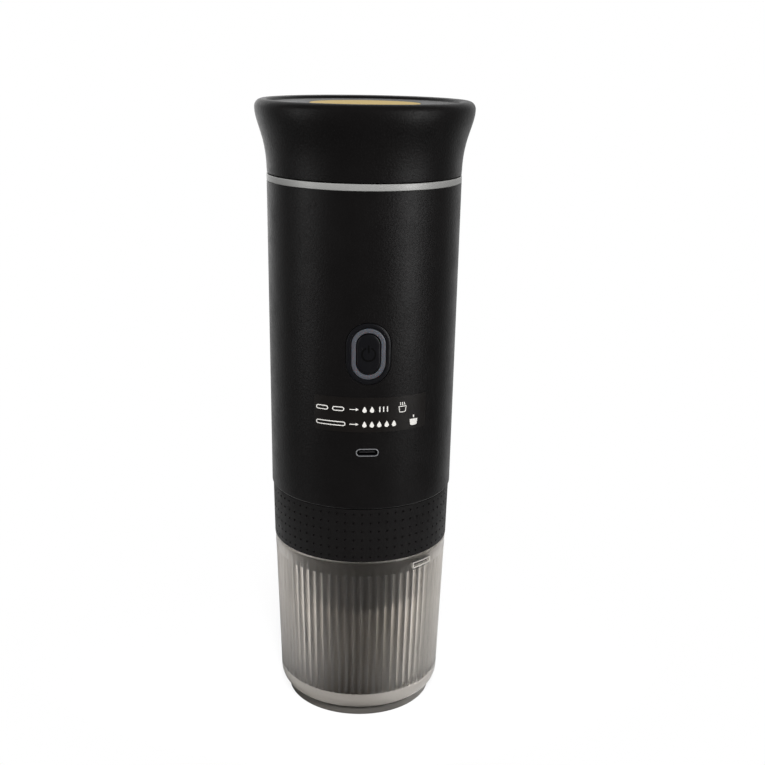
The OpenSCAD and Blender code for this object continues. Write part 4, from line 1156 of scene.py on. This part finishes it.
class COFFEE_OT_grip(bpy.types.Operator):
    """Models the grip band: one dimpled tile, repeated around the collar."""

    bl_idname = "coffee_maker.grip"
    bl_label = "Grip band"

    mouth_sides = 12
    mouth_slack = 1.01
    tile_cuts = 2
    dimple_steps = ((0.8, 0.55), (0.55, 0.45))
    low_edge = 0.3 * MM
    top_edge = 0.15 * MM

    def tile(self, width, height):
        """A flat tile with one dimple, its lower left corner at the origin."""
        s = sizes()
        tile = panel("grip_band", width, height)
        bpy.ops.mesh.delete(type="ONLY_FACE")
        bpy.ops.mesh.select_all(action="SELECT")
        bpy.ops.mesh.subdivide(number_cuts=self.tile_cuts)
        bpy.ops.mesh.select_all(action="DESELECT")
        bpy.ops.mesh.primitive_circle_add(
            vertices=self.mouth_sides, radius=s.dimple_radius, rotation=FACING_FRONT)
        bpy.ops.mesh.select_mode(type="EDGE")
        bpy.ops.mesh.select_all(action="SELECT")
        bpy.ops.mesh.bridge_edge_loops()
        mouth = self.mouth_slack * s.dimple_radius
        pick(tile, "EDGE", lambda e: all(v.co.length < mouth for v in e.verts))
        for shrink, sink in self.dimple_steps:
            bpy.ops.mesh.extrude_edges_indiv()
            bpy.ops.transform.resize(value=(shrink, 1, shrink), center_override=(0, 0, 0))
            bpy.ops.transform.translate(value=(0, sink * s.dimple_depth, 0))
        bpy.ops.mesh.edge_face_add()
        move(tile, width / 2, 0, height / 2)
        return tile

    def hem(self, band, level, outline):
        """Extrudes one open edge of the band through an outline."""
        pick(band, "EDGE", lambda e: e.is_boundary and all(abs(v.co.z - level) < NEAR for v in e.verts))
        draw_through(rounded(outline))

    def execute(self, context):
        s = sizes()
        mean = (s.grip_low_radius + s.grip_top_radius) / 2
        width = 2 * math.pi * mean / s.grip_columns
        band = self.tile(width, s.grip_pitch)
        for copies, step in ((s.grip_rows, (0, 0, s.grip_pitch)), (s.grip_columns, (width, 0, 0))):
            modify(band, "ARRAY", count=copies, use_relative_offset=False, use_constant_offset=True,
                   constant_offset_displace=step, use_merge_vertices=True, merge_threshold=MERGE)
        low = (s.grip_low + s.grip_top - s.grip_rows * s.grip_pitch) / 2
        high = low + s.grip_rows * s.grip_pitch
        draft = (s.grip_top_radius - s.grip_low_radius) / (s.grip_top - s.grip_low)
        for vertex in band.data.vertices:
            turn = vertex.co.x / mean - math.pi / 2
            level = low + vertex.co.z
            radius = s.grip_low_radius + draft * (level - s.grip_low) - vertex.co.y
            vertex.co = (radius * math.cos(turn), radius * math.sin(turn), level)
        edit(band)
        bpy.ops.mesh.select_all(action="SELECT")
        bpy.ops.mesh.remove_doubles(threshold=NEAR)
        self.hem(band, low, [
            (s.grip_low_radius, low, 0),
            (s.grip_low_radius, s.grip_low, self.low_edge),
            (s.grip_bore, s.grip_low, 0)])
        self.hem(band, high, [
            (s.grip_top_radius, high, 0),
            (s.grip_top_radius, s.grip_top, self.top_edge),
            (s.grip_bore, s.grip_top, 0)])
        middle = (s.grip_low + s.grip_top) / 2
        pick(band, "EDGE", lambda e: e.is_boundary and abs(e.verts[0].co.z - middle) > s.grip_pitch)
        bpy.ops.mesh.bridge_edge_loops()
        close_up(band)
        dress(band, "brew_unit", "dotted_grip", "grip_sleeve")
        return {"FINISHED"}


class COFFEE_OT_cup(bpy.types.Operator):
    """Models the see-through cup with its upright ribs, foot ring and vent windows."""

    bl_idname = "coffee_maker.cup"
    bl_label = "Cup"

    steps_per_rib = 8
    rib_power = 2
    run_in = 0.9 * MM
    run_in_bend = 0.4
    run_in_depth = 0.55
    rim_edge = 0.7 * MM
    corner_steps = 10
    tuck_height = 1.0 * MM
    tuck_in = 0.1 * MM
    tuck_edge = 0.25 * MM
    groove_edge = 0.1 * MM
    shoulder_edge = 0.3 * MM
    foot_edge = 0.5 * MM
    land_edge = 0.3 * MM
    base_drop = 1.6 * MM
    cap_radius = 2.0 * MM
    window_turns = (0, math.pi)
    window_draft = 0.2 * MM
    cutter_walls = 6
    rim_line = 0.4 * MM
    rim_sink = 0.3 * MM
    rim_proud = 0.1 * MM

    def wall(self, level):
        """Outside radius of the plain wall at a level."""
        s = sizes()
        start = s.foot_height + s.corner_height
        share = (level - start) / (s.cup_top - start)
        return s.cup_base_radius + (s.cup_rim_radius - s.cup_base_radius) * share

    def rib_levels(self, share):
        """Levels a share of the run-in below the ribs' upper end and above their lower end."""
        s = sizes()
        return s.rib_top - share * self.run_in, s.rib_low + share * self.run_in

    def corner(self, radius, start, fall):
        """Points around the rounded corner, from a wall's foot downwards."""
        return [(radius - sizes().corner_in * (1 - math.cos(angle)), start - fall * math.sin(angle))
                for angle in quarter_circle(self.corner_steps)]

    def foot(self, base):
        """Points from the corner over the groove and the foot ring to the middle of the base."""
        s = sizes()
        neck = s.cup_base_radius - s.corner_in
        groove = neck - 2 * s.foot_groove
        shoulder = s.foot_height - s.foot_groove
        land = s.foot_radius - s.foot_land
        return rounded([
            (neck, s.foot_height + self.tuck_height, 0),
            (neck - self.tuck_in, s.foot_height, self.tuck_edge),
            (groove, s.foot_height, self.groove_edge),
            (groove, shoulder, self.groove_edge),
            (s.foot_radius, shoulder, self.shoulder_edge),
            (s.foot_radius, 0, self.foot_edge),
            (land, 0, self.land_edge),
            (land, base, self.land_edge),
            (self.cap_radius, base, 0)])

    def outline(self):
        """Points from the middle of the floor up the inside, over the rim and down to the base."""
        s = sizes()
        start = s.foot_height + s.corner_height
        base = s.foot_height - self.base_drop
        floor = base + s.cup_floor
        bore = s.cup_base_radius - s.cup_wall
        inside = self.corner(bore, start, start - floor)[::-1]
        rim = rounded([
            (bore, start, 0),
            (s.cup_rim_radius - s.cup_wall, s.cup_top, self.rim_edge),
            (s.cup_rim_radius, s.cup_top, self.rim_edge),
            (self.wall(s.rib_top), s.rib_top, 0)])
        ends = [self.rib_levels(share) for share in (0, self.run_in_bend, 1)]
        levels = [top for top, low in ends] + [low for top, low in reversed(ends)]
        ribs = [(self.wall(level), level) for level in levels]
        corner = self.corner(s.cup_base_radius, start, s.corner_height)
        outside = rim[1:-1] + ribs + corner[:-1] + self.foot(base)[1:]
        return [(self.cap_radius, floor)] + inside + outside

    def carve_ribs(self, cup):
        """Sinks the wall between the ribs, and less where they run in at both ends."""
        s = sizes()
        edit(cup)
        half = self.steps_per_rib // 2
        step = 2 * math.pi / (s.rib_count * self.steps_per_rib)
        inside = self.wall(s.rib_low) - s.cup_wall / 2
        for share, depth_share in ((1, 1.0), (self.run_in_bend, self.run_in_depth)):
            levels = self.rib_levels(share)
            for phase in range(1, half + 1):
                def on_phase(v):
                    index = round(math.atan2(v.co.x, v.co.y) / step) % self.steps_per_rib
                    away = min(index, self.steps_per_rib - index)
                    on_level = any(abs(v.co.z - level) < NEAR for level in levels)
                    return on_level and away == phase and v.co.xy.length > inside
                pick(cup, "VERT", on_phase)
                depth = depth_share * s.rib_depth * (phase / half) ** self.rib_power
                shrink = 1 - depth / s.cup_base_radius
                bpy.ops.transform.resize(value=(shrink, shrink, 1), center_override=(0, 0, 0))

    def window_place(self, turn):
        """Direction and middle level of one vent window."""
        s = sizes()
        return s.window_azimuth - math.pi / 2 + turn, s.cup_top - s.window_drop - s.window_height / 2

    def window_cutter(self, turn):
        """A cutter for one vent window, wider towards the outside."""
        s = sizes()
        direction, middle = self.window_place(turn)
        cutter = block("window_cutter", (self.cutter_walls * s.cup_wall, s.window_width, s.window_height))
        edit(cutter)
        pick(cutter, "VERT", lambda v: v.co.x > 0)
        flare = self.cutter_walls * self.window_draft
        bpy.ops.transform.resize(
            value=(1, 1 + flare / s.window_width, 1 + flare / s.window_height), center_override=(0, 0, 0))
        begin()
        cutter.rotation_euler = (0, 0, direction)
        cutter.location = Matrix.Rotation(direction, 3, "Z") @ Vector((s.cup_rim_radius, 0, middle))
        place(cutter)
        return cutter

    def window_rim(self, turn):
        """A pale line around one vent window, laid on the cup's wall: a painted highlight along its cut edge.
        """
        s = sizes()
        direction, middle = self.window_place(turn)
        rim = panel("window_rim", s.window_width + 2 * self.rim_line, s.window_height + 2 * self.rim_line)
        bpy.ops.mesh.inset(thickness=self.rim_line)
        bpy.ops.mesh.delete(type="FACE")
        divide(rim, s.window_width)
        bpy.ops.mesh.select_all(action="SELECT")
        pull(self.rim_sink + self.rim_proud)
        begin()
        for vertex in rim.data.vertices:
            level = middle + vertex.co.z
            radius = self.wall(level) - self.rim_sink - vertex.co.y
            angle = direction + vertex.co.x / self.wall(level)
            vertex.co = (radius * math.cos(angle), radius * math.sin(angle), level)
        return rim

    def haze(self, cup, slot, low, high):
        """Gives the cup's outside between two levels a hazier finish."""
        def outside(face):
            middle = face.calc_center_median()
            return low < middle.z < high and face.normal.xy.dot(middle.xy) > 0
        repaint(cup, slot, outside)

    def execute(self, context):
        s = sizes()
        cup = turned("cup_ribbed", self.outline(), s.rib_count * self.steps_per_rib, closed=False)
        self.carve_ribs(cup)
        for turn in self.window_turns:
            cut(cup, self.window_cutter(turn))
        close_up(cup)
        dress(cup, "cup", "smoke_plastic", "cup")
        self.haze(cup, "smoke_corner", s.foot_height, s.rib_low - self.run_in / 2)
        self.haze(cup, "smoke_foot", 0, s.foot_height)
        # Pale rims round the vent windows: a painted highlight along their cut edges
        rims = join("window_rims", [self.window_rim(turn) for turn in self.window_turns])
        close_up(rims)
        dress(rims, "cup", "smoke_plastic", paint="cut_edge")
        return {"FINISHED"}


class COFFEE_OT_stage(bpy.types.Operator):
    """Sets the camera, the pale floor, the room and the lamps."""

    bl_idname = "coffee_maker.stage"
    bl_label = "Stage"

    focal_pixels = 1171.0
    eye_mm = (-29.4, -466.8, 272.7)
    heading = (0.0810, 0.9967)
    pitch = math.radians(-16.12)
    roll = math.radians(-0.93)
    clip_start = 0.01
    floor_radius = 0.18
    floor_back = 0.11
    floor_sides = 96
    floor_patch_mm = 25.0
    floor_tones = (0.92, 0.96)
    # Painted shadow on the table: a dark strip along the camera's line, seen by every ray but the camera's
    painted_shadow_half_width = (0.030, 0.046)
    painted_shadow_middle = -0.0055
    painted_shadow_slant = 0.063
    painted_shadow_tone = 0.05
    painted_shadow_fan = 10.0
    # A dark card in the room's low white, seen only through the cup: painted shade along the camera's line,
    # in front and behind
    shade_card_middle = 0.03
    shade_card_half_width = (0.12, 0.24)
    shade_card_tone = 0.1
    glow_reach = (0.25, 0.65)
    backdrop_reach = (0.35, 0.9)
    first_bounce = 0.5
    room_light = 0.05
    front_dim = 0.05
    camera_white = 0.92
    shadow_fade = (0.05, 0.15)
    unmirrored_lamps = ("key_lamp", "low_lamp")
    # Each lamp's place, aim, width and height in metres, and its power in watts
    lamps = {
        "key_lamp": ((0.0, -0.80, 0.95), (0.0, 0.0, 0.10), 0.12, 0.12, 21.0),
        "right_lamp": ((0.66, -0.53, 0.30), (0.0, 0.0, 0.16), 0.28, 0.7, 2.35),
        "left_lamp": ((-0.83, -0.27, 0.29), (0.0, 0.0, 0.16), 0.24, 0.72, 1.16),
        "low_lamp": ((-0.02, -0.32, 0.02), (0.0, 0.0, 0.01), 0.16, 0.03, 0.45),
        "back_lamp": ((-0.30, 0.90, 0.28), (0.0, 0.0, 0.16), 0.6, 0.5, 0.8),
    }

    def camera(self):
        """The camera, from the eye point, heading, pitch and roll that fit the photograph."""
        level = math.cos(self.pitch)
        forward = Vector((self.heading[0] * level, self.heading[1] * level, math.sin(self.pitch)))
        forward.normalize()
        right = forward.cross(Vector((0, 0, 1))).normalized()
        up = right.cross(forward)
        cos, sin = math.cos(self.roll), math.sin(self.roll)
        axes = Matrix((right * cos - up * sin, right * sin + up * cos, -forward)).transposed()
        data = bpy.data.cameras.new("photo_camera")
        data.sensor_width = SENSOR_MM
        data.lens = self.focal_pixels / PICTURE * SENSOR_MM
        data.clip_start = self.clip_start
        camera = bpy.data.objects.new("photo_camera", data)
        bpy.context.scene.collection.objects.link(camera)
        camera.matrix_world = Matrix.Translation(Vector(self.eye_mm) * MM) @ axes.to_4x4()
        bpy.context.scene.camera = camera

    def floor(self):
        """A round white table.

        To the camera it is clear but for a light shadow, so that the white background shows. To other
        rays it has a painted shadow: a dark strip along the camera's line, which widens with distance
        and darkens the cup.
        """
        begin()
        bpy.ops.mesh.primitive_circle_add(
            vertices=self.floor_sides, radius=self.floor_radius, fill_type="NGON",
            location=(0, self.floor_back, 0))
        floor = bpy.context.object
        floor.name = "floor"
        place(floor)
        material = bpy.data.materials.new("laminate_white_table")
        material.use_nodes = True
        tree = material.node_tree
        tree.nodes.clear()
        place_on = add(tree, "ShaderNodeTexCoord").outputs["Object"]
        mottle = add(tree, "ShaderNodeTexNoise", {
            "Vector": place_on, "Scale": 1 / (self.floor_patch_mm * MM)})
        white = (*colours().backdrop, 1.0)
        tone = add(tree, "ShaderNodeMix", {
            "Factor": mottle.outputs["Fac"], "A": shade(white, self.floor_tones[0]),
            "B": shade(white, self.floor_tones[1])}, data_type="RGBA")
        rays = add(tree, "ShaderNodeLightPath").outputs
        spot = add(tree, "ShaderNodeSeparateXYZ", {"Vector": place_on}).outputs
        line = add(tree, "ShaderNodeMath", {
            0: spot["Y"], 1: self.painted_shadow_slant, 2: self.painted_shadow_middle}, operation="MULTIPLY_ADD")
        aside = add(tree, "ShaderNodeMath", {0: spot["X"], 1: line.outputs[0]}, operation="SUBTRACT")
        widening = add(tree, "ShaderNodeMath", {
            0: spot["Y"], 1: self.painted_shadow_fan, 2: 1.0}, operation="MULTIPLY_ADD")
        share_of_width = add(tree, "ShaderNodeMath", {
            0: aside.outputs[0], 1: widening.outputs[0]}, operation="DIVIDE")
        distance = add(tree, "ShaderNodeMath", {0: share_of_width.outputs[0]}, operation="ABSOLUTE")
        # Painted shadow: rays other than the camera's see the table darkened in a strip along the camera's
        # line
        strip = add(tree, "ShaderNodeMapRange", {
            "Value": distance.outputs[0], "From Min": self.painted_shadow_half_width[0],
            "From Max": self.painted_shadow_half_width[1], "To Min": self.painted_shadow_tone, "To Max": 1.0})
        light = add(tree, "ShaderNodeMath", {
            0: strip.outputs["Result"], 1: rays["Is Camera Ray"]}, operation="MAXIMUM")
        shaded = add(tree, "ShaderNodeMix", {
            "Factor": light.outputs[0], "A": shade(white, 0.0), "B": tone.outputs["Result"]},
            data_type="RGBA")
        lit = add(tree, "ShaderNodeBsdfDiffuse", {"Color": shaded.outputs["Result"]})
        clear = add(tree, "ShaderNodeBsdfTransparent", {"Color": white})
        away = add(tree, "ShaderNodeVectorMath", {0: place_on}, operation="LENGTH")
        fade = add(tree, "ShaderNodeMapRange", {
            "Value": away.outputs["Value"], "From Min": self.shadow_fade[0],
            "From Max": self.shadow_fade[1], "To Min": self.camera_white, "To Max": 1.0})
        share = add(tree, "ShaderNodeMath", {
            0: rays["Is Camera Ray"], 1: fade.outputs["Result"]}, operation="MULTIPLY")
        mixed = add(tree, "ShaderNodeMixShader", {
            0: share.outputs[0], 1: lit.outputs[0], 2: clear.outputs[0]})
        add(tree, "ShaderNodeOutputMaterial", {"Surface": mixed.outputs[0]})
        floor.data.materials.append(material)

    def room(self):
        """A white background and an even room light.

        Mirrored rays find white only behind the object. Rays through the cup find it low down all
        around, but for a dark card in front and behind: painted shade along the camera's line.
        """
        world = bpy.data.worlds.new("studio_room")
        world.use_nodes = True
        bpy.context.scene.world = world
        tree = world.node_tree
        tree.nodes.clear()
        rays = add(tree, "ShaderNodeLightPath").outputs
        direction = add(tree, "ShaderNodeTexCoord").outputs["Generated"]
        toward = add(tree, "ShaderNodeSeparateXYZ", {"Vector": direction}).outputs
        backdrop = add(tree, "ShaderNodeMapRange", {
            "Value": toward["Y"], "From Min": self.backdrop_reach[0], "From Max": self.backdrop_reach[1],
            "To Min": 0.0, "To Max": 1.0})
        bent = add(tree, "ShaderNodeMath", {
            0: rays["Is Glossy Ray"], 1: rays["Is Transmission Ray"]}, operation="MAXIMUM")
        direct = add(tree, "ShaderNodeMath", {
            0: rays["Diffuse Depth"], 1: self.first_bounce}, operation="LESS_THAN")
        shown_in = add(tree, "ShaderNodeMath", {
            0: bent.outputs[0], 1: direct.outputs[0]}, operation="MULTIPLY")
        seen = add(tree, "ShaderNodeMath", {
            0: rays["Is Camera Ray"], 1: shown_in.outputs[0]}, operation="MAXIMUM")
        low = add(tree, "ShaderNodeMapRange", {
            "Value": toward["Z"], "From Min": self.glow_reach[0], "From Max": self.glow_reach[1],
            "To Min": 1.0, "To Max": 0.0})
        # Painted shade: the dark card darkens the low white along the camera's line
        aside = add(tree, "ShaderNodeMath", {0: toward["X"], 1: self.shade_card_middle}, operation="SUBTRACT")
        off_card = add(tree, "ShaderNodeMath", {0: aside.outputs[0]}, operation="ABSOLUTE")
        card = add(tree, "ShaderNodeMapRange", {
            "Value": off_card.outputs[0], "From Min": self.shade_card_half_width[0],
            "From Max": self.shade_card_half_width[1], "To Min": self.shade_card_tone, "To Max": 1.0})
        past_card = add(tree, "ShaderNodeMath", {
            0: low.outputs["Result"], 1: card.outputs["Result"]}, operation="MULTIPLY")
        bent_white = add(tree, "ShaderNodeMix", {
            "Factor": rays["Is Transmission Ray"], "A": backdrop.outputs["Result"],
            "B": past_card.outputs[0]})
        white_share = add(tree, "ShaderNodeMath", {
            0: rays["Is Camera Ray"], 1: bent_white.outputs["Result"]}, operation="MAXIMUM")
        white = (*colours().backdrop, 1.0)
        shown = add(tree, "ShaderNodeMix", {
            "Factor": white_share.outputs[0], "A": shade(white, self.front_dim), "B": white},
            data_type="RGBA")
        background = add(tree, "ShaderNodeBackground", {"Color": shown.outputs["Result"], "Strength": 1.0})
        ambient = add(tree, "ShaderNodeBackground", {"Color": white, "Strength": self.room_light})
        mixed = add(tree, "ShaderNodeMixShader", {
            0: seen.outputs[0], 1: ambient.outputs[0], 2: background.outputs[0]})
        add(tree, "ShaderNodeOutputWorld", {"Surface": mixed.outputs[0]})

    def execute(self, context):
        self.camera()
        self.floor()
        self.room()
        for name, (position, target, width, height, power) in self.lamps.items():
            data = bpy.data.lights.new(name, "AREA")
            data.shape = "RECTANGLE"
            data.size = width
            data.size_y = height
            data.energy = power
            lamp = bpy.data.objects.new(name, data)
            lamp.location = position
            lamp.rotation_euler = (Vector(target) - Vector(position)).to_track_quat("-Z", "Y").to_euler()
            lamp.visible_glossy = name not in self.unmirrored_lamps
            lamp.visible_transmission = False
            lamp.visible_camera = False
            bpy.context.scene.collection.objects.link(lamp)
        bpy.context.scene.view_settings.view_transform = "Standard"
        return {"FINISHED"}


class COFFEE_PT_panel(bpy.types.Panel):
    """Sidebar list of the pieces and their sizes."""

    bl_idname = "COFFEE_PT_panel"
    bl_label = "Coffee maker"
    bl_space_type = "VIEW_3D"
    bl_region_type = "UI"
    bl_category = "Coffee maker"

    def draw(self, context):
        for operator in OPERATORS:
            self.layout.operator(operator.bl_idname)
        for group in (context.scene.coffee_maker_sizes, context.scene.coffee_maker_colours):
            for name in group.__annotations__:
                self.layout.prop(group, name)


OPERATORS = (
    COFFEE_OT_stage,
    COFFEE_OT_inner_parts,
    COFFEE_OT_lid,
    COFFEE_OT_bright_ring,
    COFFEE_OT_shell,
    COFFEE_OT_button,
    COFFEE_OT_label,
    COFFEE_OT_port,
    COFFEE_OT_grip,
    COFFEE_OT_cup,
)
CLASSES = (CoffeeMakerSizes, CoffeeMakerColours, *OPERATORS, COFFEE_PT_panel)


def register():
    for cls in CLASSES:
        bpy.utils.register_class(cls)
    bpy.types.Scene.coffee_maker_sizes = bpy.props.PointerProperty(type=CoffeeMakerSizes)
    bpy.types.Scene.coffee_maker_colours = bpy.props.PointerProperty(type=CoffeeMakerColours)


def unregister():
    del bpy.types.Scene.coffee_maker_colours
    del bpy.types.Scene.coffee_maker_sizes
    for cls in reversed(CLASSES):
        bpy.utils.unregister_class(cls)


def main():
    register()
    bpy.ops.coffee_maker.stage()
    bpy.ops.coffee_maker.inner_parts()
    bpy.ops.coffee_maker.lid()
    bpy.ops.coffee_maker.bright_ring()
    bpy.ops.coffee_maker.shell()
    bpy.ops.coffee_maker.button()
    bpy.ops.coffee_maker.label()
    bpy.ops.coffee_maker.port()
    bpy.ops.coffee_maker.grip()
    bpy.ops.coffee_maker.cup()
    begin()


if __name__ == "__main__":
    main()
